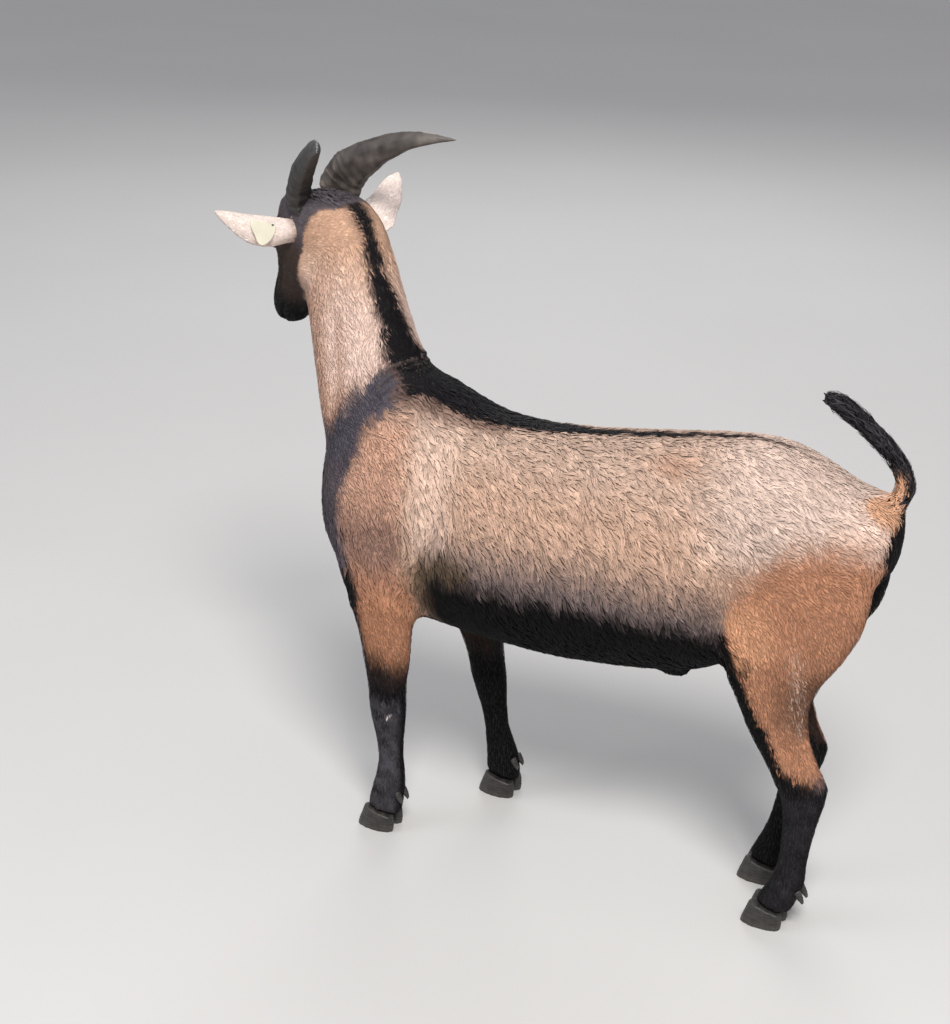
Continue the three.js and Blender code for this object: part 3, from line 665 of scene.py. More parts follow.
class Coat:
    """The coat's colours at points of the skin, painted over each other from the back to the tail.
    A jitter, in millimetres, mixes strands at the edges of the markings."""

    def __init__(self, points, normals, rows, jitter=0.0):
        self.points, self.normals, self.rows = points, normals, rows
        self.where = body(points) + jitter
        self.ragged = 5 * waves(self.where, 34, 3)[:, None] * (0.3, 0.3, 1)
        self.ragged = self.ragged + 2.0 * waves(self.where, 13, 4)[:, None]
        self.spot = self.where + self.ragged
        self.sides = folded(self.spot)
        self.kind = KINDS[rows]
        # How far the skin looks outwards, to the goat's left or right.
        self.outward = normals[:, 1] * np.sign(self.spot[:, 1])
        self.colours = np.tile(INK["back"], (len(points), 1))

    def paint(self, ink, share):
        self.colours = blend(self.colours, INK[ink], share)

    def round_spot(self, far, close, place):
        """1 within the close distance of a place on both sides, and 0 past the far one."""
        return ramp(far, close, np.linalg.norm(self.sides - place, axis=1))

    def cloud(self, place, size):
        """1 at a place on both sides, fading out over the given size in three ways."""
        return np.exp(-(((self.sides - place) / size) ** 2).sum(1))

    def trunk(self):
        paint, sides = self.paint, self.sides
        x, y, z = self.spot.T
        paint("barrel", ramp(590, 520, z))
        paint("light", 0.8 * near(sides, 52, 12, [(470, 90, 590), (462, 110, 520), (466, 112, 460)]))
        low = z - curve(x, BELLY_EDGE)
        paint("low", ramp(100, 6, low) * ramp(20, 70, x) * ramp(490, 440, x))
        paint("orange", 0.45 * self.cloud((150, 67, 599), (42, 30, 13)))
        paint("rump", ramp(140, 40, x) * ramp(470, 530, z))
        paint("shoulder", ramp(490, 530, x) * ramp(625, 575, z))
        paint("smoke", ramp(480, 520, x) * ramp(500, 440, z))
        # Painted shade in the crease behind the elbow.
        elbow = [(418, 115, 418), (450, 111, 416), (468, 106, 405), (464, 94, 358)]
        paint("elbow_shade", 0.9 * near(sides, 38, 8, elbow))
        thigh = ramp(30, -34, z - curve(x, THIGH_EDGE)) * ramp(88, 46, x)
        paint("orange", thigh)
        paint("amber", 0.95 * thigh * near(sides, 50, 10, [(32, 95, 424), (18, 98, 379), (2, 96, 350)]))
        paint("white", 0.8 * self.cloud((-106, 50, 560), (30, 34, 24)))

    def neck(self):
        paint, neck = self.paint, np.isin(self.kind, ("neck", "head"))
        z = self.spot[:, 2]
        self.colours[neck] = INK["neck"]
        paint("neck_top", neck * ramp(700, 815, z))
        paint("shoulder", 0.7 * neck * ramp(650, 560, z))
        throat = 0.87 * self.normals[:, 0] + 0.49 * np.abs(self.normals[:, 1])
        paint("shoulder", 0.75 * neck * ramp(0.45, 0.95, throat))

    def dark(self):
        """The black and smoky markings of the trunk and neck."""
        paint, up = self.paint, self.normals[:, 2]
        x, y, z = self.spot.T
        trunk, rest = self.kind == "trunk", self.kind != "head"
        paint("brown", 0.6 * near(self.sides, 40, 20, BAND) * rest)
        paint("band", near(self.sides, 30, 14, BAND) * rest)
        away, place = along_path(self.spot, NAPE)
        past = away - np.interp(place, np.arange(len(NAPE)), NAPE_HALF)
        paint("brown", 0.75 * ramp(13, 0, past))
        paint("nape", ramp(5, -4, past))
        past = np.abs(y) - curve(x, BACK_HALF) * (1 + 0.8 * ramp(0, -8, y) * ramp(290, 360, x))
        top = ramp(-0.05, 0.15, up) * ramp(555, 535, x) * trunk
        soft = 6 + 26 * ramp(330, 440, x)
        paint("brown", 0.85 * ramp(1, 0, past / soft) * top * ramp(-90, 40, x))
        paint("nape", ramp(3, -3, past) * top)
        # Painted highlight: a lighter line along each wrinkle's crest, where the light catches the fold.
        for path in WRINKLES:
            paint("crest", 0.9 * near(folded(self.where), 3.4, 1.6, path))
        under = ramp(24, -12, z - curve(x, BELLY_EDGE)) * ramp(480, 450, x)
        deep = ramp(-0.5, -0.8, up) * ramp(620, 560, x)
        paint("black", np.maximum(under, deep) * trunk)

    def legs(self):
        """Both pairs of legs. What is painted last, such as the socks, covers the rest."""
        leg = np.isin(self.kind, ("upper", "lower"))
        x, y, z = self.spot.T
        fore = (x > 440) & (z < 520) & (self.kind != "neck")
        hind = leg & (x < 120)
        self.forelegs(x, y, z, fore)
        self.hind_legs(x, z, hind)
        self.paint("nape", ramp(-14, 2, ahead_of(SHIN, x, z)) * fore * ramp(400, 370, z))
        # The legs' inner sides turn near black: in part dark hair, in part painted shade on the sides that
        # face in between the legs.
        self.paint("nape", 0.92 * ramp(0.1, -0.4, self.outward) * leg * ramp(500, 440, z))
        self.paint("shin", fore * ramp(290, 240, z - 0.25 * (x - 530)))
        self.socks(x, z, leg)

    def forelegs(self, x, y, z, fore):
        self.paint("forearm", fore * ramp(425, 350, z) * np.maximum(ramp(476, 497, x), y < -30))
        front = ramp(-10, 8, x - curve(z, CHEST_EDGE)) * ramp(585, 550, z) * ramp(330, 370, z)
        self.paint("band", 0.95 * front * (x > 440) * (self.kind != "head"))

    def hind_legs(self, x, z, hind):
        paint, sides = self.paint, self.sides
        paint("orange", hind)
        paint("amber", 0.7 * hind * ramp(0, 30, x) * ramp(330, 370, z))
        rear = ramp(10, -50, x) * ramp(390, 340, z) * ramp(270, 300, z)
        paint("gaskin", 0.95 * rear * hind)
        streak = near(sides, 16, 4, [(-34, 86, 400), (-42, 84, 350), (-42, 82, 295)])
        paint("light", 0.55 * streak * np.clip(waves(self.spot, 7, 61) * 2, 0, 1) * hind)
        paint("nape", 0.85 * near(sides, 7, 2.5, [(-40, 86, 290), (-47, 82, 262), (-50, 80, 240)]) * hind)
        paint("black", ramp(-10, 0, ahead_of(STIFLE, x, z)) * hind * ramp(400, 370, z))
        paint("black", near(sides, 14, 6, STIFLE))

    def socks(self, x, z, leg):
        """Black below the knees and hocks, with a painted grey sheen on the outside."""
        over = z - np.where(x > 300, FORE_SOCK, HIND_SOCK + 0.12 * (x + 40))
        self.paint("black", leg * ramp(10, -9, over))
        # Painted sheen: grey on the legs' outer sides, most on the forelegs.
        shine = leg * ramp(-6, -38, over) * ramp(0.2, 0.9, self.outward) * np.where(x > 300, 1, 0.25)
        self.paint("grey", shine * (0.65 + 0.35 * waves(self.spot, 26, 9)))
        self.paint("grey", 0.6 * self.round_spot(20, 8, (-78, 66, 222)))

    def cleft(self):
        """The black between the thighs, seen from behind."""
        x, y, z = self.spot.T
        # The right side's black reaches 45 mm further out below the hip, as painted shade over the right
        # thigh.
        past = np.abs(y) - curve(z, CLEFT_HALF) - 45 * ramp(0, -10, y) * ramp(540, 500, z)
        cleft = ramp(-0.2, -0.6, self.normals[:, 0]) * ramp(4, -3, past) * ramp(-76, -90, x)
        self.paint("black", cleft * ramp(596, 586, z) * ramp(390, 410, z))

    def face(self):
        local = head(self.points) + self.ragged * 0.5
        ahead, _, off = local.T
        mine = np.isin(self.kind, ("head", "neck"))
        dark = mine * ramp(-4, 4, off - curve(ahead, FACE_EDGE))
        self.paint("cheek", dark)
        self.paint("cap", dark * ramp(50, 20, ahead))
        self.paint("tan", 0.45 * dark * near(folded(local), 16, 5, SOFT_TAN))
        self.paint("black", mine * ramp(115, 165, ahead) * ramp(-100, -80, off))

    def ear(self, side):
        """A pale back, a browner root and a thinly haired, pinkish cup, with painted shade deep in the cup
        and down towards its root.
        """
        root, tip, opened = ear_axes(side)
        reach = (self.points - root) @ (tip - root) / ((tip - root) @ (tip - root))
        mine = self.rows == ALL_FLESH.index("ear_" + side)
        self.colours[mine] = INK["ear"]
        self.paint("ear_root", 0.9 * mine * ramp(0.24, 0.02, reach))
        inside = mine * ramp(0.1, 0.6, self.normals @ opened)
        self.paint("ear_cup", 0.85 * inside * ramp(0.95, 0.6, reach))
        rim = np.linalg.norm(self.points - root - (tip - root) * reach[:, None], axis=1) / MM
        # Painted shade deep in the cup, along its middle and towards its root.
        deep = ramp(19, 6, rim + 9 * reach) * ramp(0.8, 0.35, reach)
        self.paint("brown", 0.75 * inside * np.maximum(deep, ramp(0.25, 0.05, reach)))

    def tail(self):
        tail = self.kind == "tail"
        self.colours[tail] = INK["nape"]
        self.paint("grey", tail * np.clip(0.25 + 0.5 * waves(self.where, 9, 62), 0, 0.8))
        self.paint("dock", tail * ramp(604, 595, self.spot[:, 2]) * ramp(-0.5, -0.15, self.normals[:, 0]))
        root = (self.kind == "trunk") * self.round_spot(29, 17, (-104, 24, 580))
        self.paint("dock", root * ramp(-126, -120, self.spot[:, 0]))


def markings(*places):
    """The coat's colour at places, which are given as the class Coat takes them."""
    coat = Coat(*places)
    for part in (coat.trunk, coat.neck, coat.dark, coat.legs, coat.cleft, coat.face):
        part()
    for side in SIDES:
        coat.ear(side)
    coat.paint("scar", ramp(5, 2, np.linalg.norm(coat.where - (516, 97, 178), axis=1)))
    coat.tail()
    return coat.colours


# ---------------------------------------------------------------- surfaces


class Material:
    """A material in the making: its nodes, and the shader that they lead to."""

    def __init__(self, name):
        self.made = bpy.data.materials.new(name)
        self.made.use_nodes = True
        self.tree = self.made.node_tree
        self.shader = self.tree.nodes["Principled BSDF"]

    def add(self, kind, inputs=None, **values):
        node = self.tree.nodes.new("ShaderNode" + kind)
        for key, value in values.items():
            setattr(node, key, value)
        self.feed(node, inputs or {})
        return node

    def feed(self, node, inputs):
        for key, value in inputs.items():
            if isinstance(value, bpy.types.NodeSocket):
                self.tree.links.new(value, node.inputs[key])
            else:
                node.inputs[key].default_value = value

    def noise(self, place, scale, detail=2.0):
        return self.add("TexNoise", {"Vector": place, "Scale": scale, "Detail": detail}).outputs["Fac"]

    def tinted(self, low, high, scale):
        """Takes the stored tint, made lighter and darker by noise of the given scale."""
        tint = self.add("Attribute", attribute_name="tint").outputs["Color"]
        self.place = self.add("TexCoord").outputs["Object"]
        self.grain = self.noise(self.place, scale, 3.0)
        span = {"Value": self.grain, "From Min": 0.3, "From Max": 0.7, "To Min": low, "To Max": high}
        light = self.add("MapRange", span).outputs["Result"]
        mixed = self.add("VectorMath", {0: tint, "Scale": light}, operation="SCALE")
        self.feed(self.shader, {"Base Color": mixed.outputs["Vector"]})

    def rough(self, low, high):
        """Roughness between two values, by the same noise as the tint's."""
        span = self.add("MapRange", {"Value": self.grain, "To Min": low, "To Max": high})
        self.feed(self.shader, {"Roughness": span.outputs["Result"]})

    def bumped(self, height, strength, distance):
        bump = self.add("Bump", {"Height": height, "Strength": strength, "Distance": distance})
        self.feed(self.shader, {"Normal": bump.outputs["Normal"]})


def coat_surface(made):
    made.tinted(0.86, 1.12, 420)
    sheen = {"Sheen Weight": 0.01, "Sheen Roughness": 0.5}
    made.feed(made.shader, {"Roughness": 0.6, "Specular IOR Level": 0.07} | sheen)


def skin_surface(made):
    made.tinted(0.8, 1.1, 260)
    made.feed(made.shader, {"Roughness": 0.62, "Specular IOR Level": 0.3})
    # Noise drawn out along the lie, so that the bump reads as short hair.
    lie = made.add("Attribute", attribute_name="lie").outputs["Vector"]
    along = made.add("VectorMath", {0: made.place, 1: lie}, operation="DOT_PRODUCT").outputs["Value"]
    most = made.add("Math", {0: along, 1: 0.88}, operation="MULTIPLY").outputs["Value"]
    stretch = made.add("VectorMath", {0: lie, "Scale": most}, operation="SCALE").outputs["Vector"]
    squeezed = made.add("VectorMath", {0: made.place, 1: stretch}, operation="SUBTRACT")
    made.bumped(made.noise(squeezed.outputs["Vector"], 750.0, 3.0), 0.6, 0.0012)


def horn_surface(made):
    made.tinted(0.7, 1.25, 90)
    made.rough(0.38, 0.62)
    made.bumped(made.noise(made.place, 480.0, 5.0), 0.4, 0.0006)


def eye_surface(made):
    made.tinted(0.85, 1.15, 900)
    made.feed(made.shader, {"Roughness": 0.06, "Coat Weight": 0.8, "Coat Roughness": 0.02})


def tag_surface(made):
    made.tinted(0.93, 1.03, 60)
    made.rough(0.3, 0.5)
    made.bumped(made.noise(made.place, 900.0), 0.1, 0.0003)


def floor_surface(made):
    place = made.add("TexCoord").outputs["Object"]
    greys = made.add("ValToRGB", {"Fac": made.noise(place, 1.2, 4.0)})
    greys.color_ramp.elements[0].color = (0.47, 0.46, 0.45, 1)
    greys.color_ramp.elements[1].color = (0.51, 0.50, 0.49, 1)
    made.feed(made.shader, {"Base Color": greys.outputs["Color"], "Roughness": 0.85})


def finished(name, build):
    material = Material(name)
    build(material)
    return material.made


SURFACES = {
    "coat": finished("coat", coat_surface),
    "skin": finished("skin", skin_surface),
    "horn": finished("horn", horn_surface),
    "eye": finished("eye", eye_surface),
    "tag": finished("tag", tag_surface),
    "floor": finished("floor", floor_surface),
}


def store(mesh, name, kind, values):
    attribute = mesh.attributes.new(name, kind, "POINT")
    field = {"FLOAT_COLOR": "color", "FLOAT_VECTOR": "vector"}[kind]
    if kind == "FLOAT_COLOR":
        values = np.concatenate([values, np.ones((len(values), 1))], 1)
    attribute.data.foreach_set(field, np.asarray(values, np.float32).ravel())


def piece(name, mesh, surface, colours, nodes=()):
    """A finished piece of the goat, riding on its one body."""
    thing = new_object(name, mesh)
    mesh.name = name
    store(mesh, "tint", "FLOAT_COLOR", np.clip(colours, 0, 1))
    mesh.materials.clear()
    mesh.materials.append(SURFACES[surface])
    mesh.polygons.foreach_set("use_smooth", np.ones(len(mesh.polygons), bool))
    mesh.update()
    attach(thing, "root")
    if nodes:
        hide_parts(*nodes)


# ---------------------------------------------------------------- the coat

CHUNK_FACES = 190_000  # the most triangles in one piece of the coat
SIZES = ("depth", "length", "width", "cover")
FILLED = 0.62  # the share of a tuft's length times its width that it covers
PATCH = 0.003  # the size of a tuft's own patch of the bake map
SIDE_LEAN = 0.68  # how far the shading normals lean to a tuft's two sides
# Painted shade along each tuft: darker at its root, down in the coat's shade, and a little lighter at its
# tip.
ROOT_SHADE, TIP_SHADE = 0.9, 1.08
# The part of the tufts that lead locks, how strongly the others lean to them, and how far at most.
LEADING = 0.3
GATHER = 0.6
MOST_LEAN = 0.5
LONG_HAIR = 10.5  # tufts longer than this, in millimetres, are made as locks
THIN, WIDER = ((1.0, 1.0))
# A tuft: places along it, how wide it is there, and how far each row lifts off the skin.
LOCK = {"along": (0.3, 0.68), "wide": (1.0, 0.8), "lift": (-0.25, 0.62, 0.95, 1.0)}
STRAND = {"along": (0.42,), "wide": (1.0,), "lift": (-0.25, 0.75, 1.0)}
# Bare places: the nose leather and the mouth, how far the coat keeps from them, and the claws' tops.
NOSE_LEATHER, NOSE_BARE = [(204, 0, -44), (202, 4, -33), (196, 13, -28), (186, 16, -23)], 8
MOUTH, MOUTH_BARE = HEAD_FORMS["mouth"][2], 2.2
CLAW_TOP = 26


class Skin:
    """The finished skin with all that the coat needs to know at each of its points."""

    def __init__(self, mesh):
        self.mesh = mesh
        self.points = points_of(mesh)
        self.normals = normals_of(mesh)
        self.edges = edges_of(mesh)
        self.faces = np.array([p.vertices for p in mesh.polygons])
        self.rows = flesh_at(self.points)
        self.tree = BVHTree.FromPolygons([Vector(p) for p in self.points], self.faces.tolist())
        local = body(self.points)
        swirl = 0.32 * waves(local, 42, 21) + 0.22 * waves(local, 15, 22)
        calm = np.isin(KINDS[self.rows], ("trunk", "neck"))
        swirl = relax(swirl * np.where(calm, 1.0, 0.4), self.edges, 0.5, 2)
        lie = self.level(relax(lie_of(self.points, self.rows), self.edges, 0.6, 40))
        self.lie = self.level(lie + np.cross(self.normals, lie) * swirl)
        self.size = {}
        for value in SIZES:
            sizes = coat_size(self.points, self.rows, value)
            self.size[value] = relax(sizes, self.edges, 0.5, 8)[:, 0]

    def level(self, ways):
        """Unit ways turned into the surface."""
        return unit(ways - self.normals * (ways * self.normals).sum(1, keepdims=True))

    def roots(self, thin):
        """Faces of the tufts' roots, and the weights of their corners. Thin takes a share of them."""
        a, b, c = (self.points[self.faces[:, k]] for k in range(3))
        area = np.linalg.norm(np.cross(b - a, c - a), axis=1) / 2 / MM**2
        mean = {key: value[self.faces].mean(1) for key, value in self.size.items()}
        wanted = mean["cover"] * area / (FILLED * mean["length"] * mean["width"]) * thin
        count = np.floor(wanted + RNG.random(len(wanted))).astype(int)
        chosen = np.repeat(np.arange(len(self.faces)), count)
        share = RNG.random((len(chosen), 3)) ** 0.7
        return chosen, share / share.sum(1, keepdims=True)

    def at(self, values, chosen, share):
        corner = values[self.faces[chosen]]
        return (corner * share.reshape(share.shape + (1,) * (corner.ndim - 2))).sum(1)

    def snapped(self, points):
        """The nearest places on the skin, and the way up and the lie there."""
        found = [self.tree.find_nearest(Vector(p)) for p in points]
        corner = self.faces[[f[2] for f in found], 0]
        return np.array([f[0] for f in found]), self.normals[corner], self.lie[corner]


def tuft_mesh(kind, spine, up, across, wide):
    """Corners of many tufts: a root, rings of three, and a tip."""
    rows = [spine[0]]
    for ring, share in enumerate(kind["wide"], 1):
        half = across[ring] * (wide * share / 2)[:, None]
        top = up[ring] * (wide * share * 0.14)[:, None]
        rows += [spine[ring] - half, spine[ring] + half, spine[ring] + top]
    return np.stack(rows + [spine[-1]], 1)


def tuft_normals(kind, up, across):
    """Shading normals that lean a little from the skin's to the tuft's two sides."""
    rows = [up[0]]
    for ring in range(1, len(kind["wide"]) + 1):
        lean = across[ring] * SIDE_LEAN
        rows += [up[ring] - lean, up[ring] + lean, up[ring]]
    return unit(np.stack(rows + [up[-1]], 1))


def tuft_faces(rings):
    faces = [(0, 2, 1), (0, 3, 2), (0, 1, 3)]
    for ring in range(rings - 1):
        a = 1 + 3 * ring
        for i in range(3):
            j = (i + 1) % 3
            faces += [(a + i, a + j, a + 3 + j), (a + i, a + 3 + j, a + 3 + i)]
    a, tip = 1 + 3 * (rings - 1), 1 + 3 * rings
    faces += [(a, a + 1, tip), (a + 1, a + 2, tip), (a + 2, a, tip)]
    return np.array(faces)


def patch_places(rings):
    """Each corner's place on the tuft's patch, from -0.5 to 0.5."""
    places = [(0, -0.5)]
    for ring in range(rings):
        level = -0.5 + (ring + 1) / (rings + 1)
        places += [(-0.5, level), (0.5, level), (0.08, level + 0.12)]
    return np.array(places + [(0, 0.5)])


NECK_MIDDLE = [(500, 548), (560, 578), (622, 602), (678, 621), (732, 640), (780, 655), (842, 678)]


def unwrapped(points, rows):
    """Each point's place on an unwrap of its part of the body: round its axis, and along it."""
    x, y, z = body(points).T
    ahead, left, off = head(points).T
    flat = columns(np.arctan2(y, z - 500), x)
    for row in np.unique(rows):
        name, mine = ALL_FLESH[row], rows == row
        if name == "neck":
            own = columns(np.arctan2(y + 15, curve(z, NECK_MIDDLE) - x), z)
        elif name == "head":
            own = columns(np.arctan2(left, off + 40), ahead)
        elif name.startswith("leg"):
            middle = body(np.array(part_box(name)).mean(0))
            own = columns(np.arctan2(y - middle[1], middle[0] - x), z)
        elif name == "tail":
            own = columns(np.arctan2(y, x - z + 700), along_path(body(points), TAIL_LINE)[1])
        elif name.startswith("ear"):
            root, tip, _ = ear_axes(name[4:])
            own = columns(off + 0.3 * left, (points - root) @ (tip - root) * 1000)
        else:
            continue
        flat[mine] = own[mine]
    return flat


def tuft_object(name, corners, faces):
    mesh = bpy.data.meshes.new(name)
    mesh.vertices.add(len(corners))
    mesh.loops.add(faces.size)
    mesh.polygons.add(len(faces))
    mesh.vertices.foreach_set("co", corners.astype(np.float32).ravel())
    mesh.loops.foreach_set("vertex_index", faces.ravel().astype(np.int32))
    mesh.polygons.foreach_set("loop_start", np.arange(0, faces.size, 3, dtype=np.int32))
    mesh.update(calc_edges=True)
    return mesh


def coat_piece(name, kind, spine, up, across, wide, colours, roots, rows):
    """One piece of the coat, with a bake map and with shading normals of its own."""
    corners = tuft_mesh(kind, spine, up, across, wide)
    rings = len(kind["wide"])
    count, size = corners.shape[:2]
    faces = (tuft_faces(rings)[None] + np.arange(count)[:, None, None] * size).reshape(-1, 3)
    mesh = tuft_object(name, corners.reshape(-1, 3), faces)
    reach = np.array([0, *np.repeat(np.arange(rings) + 1, 3), rings + 1]) / (rings + 1)
    # Painted shade: each tuft darker at its root and lighter towards its tip.
    shade = ROOT_SHADE + (TIP_SHADE - ROOT_SHADE) * np.minimum(1, reach * 1.5)
    flat = unwrapped(roots, rows)
    low, high = flat.min(0), flat.max(0)
    flat = 0.004 + (flat - low) / np.maximum(high - low, 1e-9) * 0.992
    places = (flat[:, None] + patch_places(rings) * PATCH).reshape(-1, 2)
    layer = mesh.uv_layers.new(name="OFBake")
    layer.data.foreach_set("uv", places[faces.ravel()].astype(np.float32).ravel())
    piece(name, mesh, "coat", (colours[:, None] * shade[None, :, None]).reshape(-1, 3))
    mesh.normals_split_custom_set_from_vertices(tuft_normals(kind, up, across).reshape(-1, 3))


def hidden_roots(roots):
    """Roots where nothing grows: on the eyes' openings, the nose leather and inside the claws' tops."""
    local = head(roots)
    bare = np.zeros(len(roots), bool)
    for side in (1, -1):
        along, up, out, far = eye_places(local, side)
        bare |= (out > 0) & (far < EYE_RADIUS + 5) & (lid_gap(along, up) > -1.8)
    bare |= along_path(folded(local), NOSE_LEATHER)[0] < NOSE_BARE
    bare |= along_path(folded(local), MOUTH)[0] < MOUTH_BARE
    return bare | (body(roots)[:, 2] < CLAW_TOP)


def gathered(roots, groups, part):
    """For each root the number of its leader: the nearest of a chosen part of its own group."""
    chosen = RNG.random(len(roots)) < part
    leader = np.arange(len(roots))
    for group in np.unique(groups):
        leading = np.nonzero(chosen & (groups == group))[0]
        if not len(leading):
            continue
        tree = KDTree(len(leading))
        for number in leading:
            tree.insert(roots[number], int(number))
        tree.balance()
        for number in np.nonzero(~chosen & (groups == group))[0]:
            leader[number] = tree.find(roots[number])[1]
    return leader


def laid(skin, kind, tufts):
    """The line of each tuft over the skin, and the ways up and across at its rows."""
    here, way = tufts["root"], tufts["lie"]
    up, across = [tufts["normal"]], [np.cross(tufts["normal"], way)]
    spine, way = [here], unit(way + across[0] * tufts["stray"][:, None])
    last, turn = 0.0, 1
    for share in kind["along"] + (1.0,):
        step = (share - last) * tufts["length"][:, None]
        last, turn = share, -turn
        here, above, flow = skin.snapped(here + way * step)
        way = unit(flow + np.cross(above, flow) * (tufts["stray"] + turn * tufts["bend"])[:, None])
        spine.append(here)
        up.append(above)
        across.append(np.cross(above, way))
    lifts = zip(spine, up, kind["lift"])
    return [s + u * (tufts["depth"] * lift)[:, None] for s, u, lift in lifts], up, across


def rooted(skin):
    """The coat's roots, the rows of their flesh, the ways up and along the lie, and the sizes there."""
    chosen, share = skin.roots(THIN)
    keep = ~hidden_roots(skin.at(skin.points, chosen, share))
    chosen, share = chosen[keep], share[keep]
    normal, lie = (unit(skin.at(values, chosen, share)) for values in (skin.normals, skin.lie))
    size = {key: skin.at(value, chosen, share) for key, value in skin.size.items()}
    return skin.at(skin.points, chosen, share), skin.rows[skin.faces[chosen, 0]], normal, lie, size


def tufts_of(skin):
    """The root, size, way and colour of every tuft, each drawn for its leader and for itself."""
    roots, rows, normal, lie, size = rooted(skin)
    count, local = len(roots), body(roots)
    long = size["length"] > LONG_HAIR
    order = list(COAT)
    groups = np.array([order.index(kind) for kind in KINDS])[rows] * 2 + long
    leader = gathered(roots, groups, LEADING)
    length = size["length"] * RNG.uniform(0.78, 1.22, count)[leader] * RNG.uniform(0.85, 1.15, count) * MM
    wide = size["width"] * RNG.uniform(0.6, 1.25, count) * MM * WIDER
    depth = size["depth"] * RNG.uniform(0.75, 1.1, count)[leader] * RNG.uniform(0.8, 1.05, count) * MM
    depth *= 1 + 0.2 * waves(local, 14, 51)
    # Strands lean towards their leader, so that their tips meet in a lock.
    sideways = ((roots - roots[leader]) * np.cross(normal, lie)).sum(1)
    lean = np.clip(-GATHER * sideways / length, -MOST_LEAN, MOST_LEAN)
    stray = RNG.normal(0, 0.15, count)[leader] + RNG.normal(0, 0.05, count) + lean
    bend = RNG.normal(0, 0.2, count)[leader] * long
    jitter = RNG.normal(0, 2.0, (count, 3))[leader] + RNG.normal(0, 1.4, (count, 3))
    colours = markings(roots, normal, rows, jitter)
    tone = RNG.normal(-0.03, 0.11, count)[leader] + RNG.normal(0, 0.06, count)
    tone += 0.08 * waves(local, 12, 52) + 0.06 * waves(local, 30, 53)
    return {
        "root": roots, "normal": normal, "lie": lie, "row": rows, "group": groups, "long": long,
        "length": length, "wide": wide, "depth": depth, "stray": stray, "bend": bend,
        "colour": colours * np.exp(tone)[:, None],
    }


def grow_coat(skin):
    tufts = tufts_of(skin)
    for label, kind, mine in (("long", LOCK, tufts["long"]), ("short", STRAND, ~tufts["long"])):
        index = np.nonzero(mine)[0]
        index = index[np.lexsort((tufts["root"][index][:, 0], tufts["group"][index]))]
        per = CHUNK_FACES // len(tuft_faces(len(kind["wide"])))
        for number in range(0, len(index), per):
            pick = {key: value[index[number : number + per]] for key, value in tufts.items()}
            places = [pick[key] for key in ("wide", "colour", "root", "row")]
            coat_piece(f"coat_{label}_{number // per + 1}", kind, *laid(skin, kind, pick), *places)


# ---------------------------------------------------------------- horns, hooves, eyes, tag

# The middle line of the left horn in the head's frame, from its root on.
HORN_LINE = np.array([
    (18, -3, -9), (-2, 0, 1.5), (-28, 4, 4), (-56, 11, -4.5), (-86, 21, -19), (-116, 36, -36),
    (-141, 57, -58), (-160, 83, -85)], float)
HORN_ROOT = np.array([-6, 31, -8.0])
# How far the outer half of each horn is drawn in towards the middle, as a share of its spread.
HORN_DRAWN = {"left": 0.27, "right": 0.0}
# Painted light: each horn's colours are scaled, the right horn lighter as if in sun and the left darker as
# if in shade.
HORN_PAINTED_LIGHT = {"left": 0.42, "right": 1.7}
HORN_INK = {
    "dark": (0.018, 0.014, 0.012),
    "light": (0.05, 0.041, 0.036),
    "line": (0.16, 0.13, 0.10),
    "worn": (0.10, 0.088, 0.08),
}
LEG_CLAWS = [f"{leg}_{toe}" for leg in LEGS for toe in ("inner", "outer")]


def horn_reach(points, side):
    """How far along its horn each point is, in millimetres from the root."""
    line = HORN_LINE.copy()
    line[:, 1] *= 1 - HORN_DRAWN[side] * ramp(40, 165, -line[:, 0])
    line = (line + HORN_ROOT) * (1, SIDES[side], 1)
    legs = np.linalg.norm(np.diff(line, axis=0), axis=1)
    place = along_path(head(points), line)[1]
    return np.interp(place, np.arange(len(line)), np.concatenate([[0], np.cumsum(legs)]))


def make_horn(side):
    """A horn with rings that fade towards its tip, a painted sheen on its upper face, and a greyer tip from
    wear and painted sheen.
    """
    mesh, points = node_mesh("horn_" + side)
    set_points(mesh, points)
    local, reach = body(points), horn_reach(points, side)
    swell = np.sin(reach * (0.62 - 0.0011 * reach) + 0.9 * waves(local, 50, 31) + 1.2 * np.sin(reach * 0.11))
    fine = np.sin(reach * 1.9 + waves(local, 24, 32))
    fade = np.exp(-reach / 110)
    rings = fade * ((0.3 + 0.45 * ramp(90, 30, reach)) * swell + 0.22 * fine) + 0.35 * waves(local, 26, 33)
    set_points(mesh, points + normals_of(mesh) * (rings * MM)[:, None])
    pale = 0.35 + 0.1 * swell + 0.35 * waves(local, 20, 34)
    colours = blend(HORN_INK["dark"], HORN_INK["light"], pale)
    lines = ramp(0.93, 1.0, swell) * ramp(75, 30, reach) * ramp(-0.4, 0.5, waves(local, 22, 35))
    colours = blend(colours, HORN_INK["line"], 0.6 * lines)
    # Painted sheen on the horn's upper face, where the light falls, and a greyer tip from wear and painted
    # sheen.
    upper = ramp(0.2, 0.9, (normals_of(mesh) @ TURN)[:, 2])
    worn = 0.5 * upper * ramp(40, 120, reach) + 0.3 * ramp(150, 200, reach)
    colours = blend(colours, HORN_INK["worn"], worn) * HORN_PAINTED_LIGHT[side]
    piece("horn_cover_" + side, mesh, "horn", colours, ["horn_" + side])


HOOF_DARK = (0.014, 0.012, 0.012)
HOOF_DUST = (0.052, 0.045, 0.039)
SOLE = 0.6  # the height of the flat sole, in millimetres


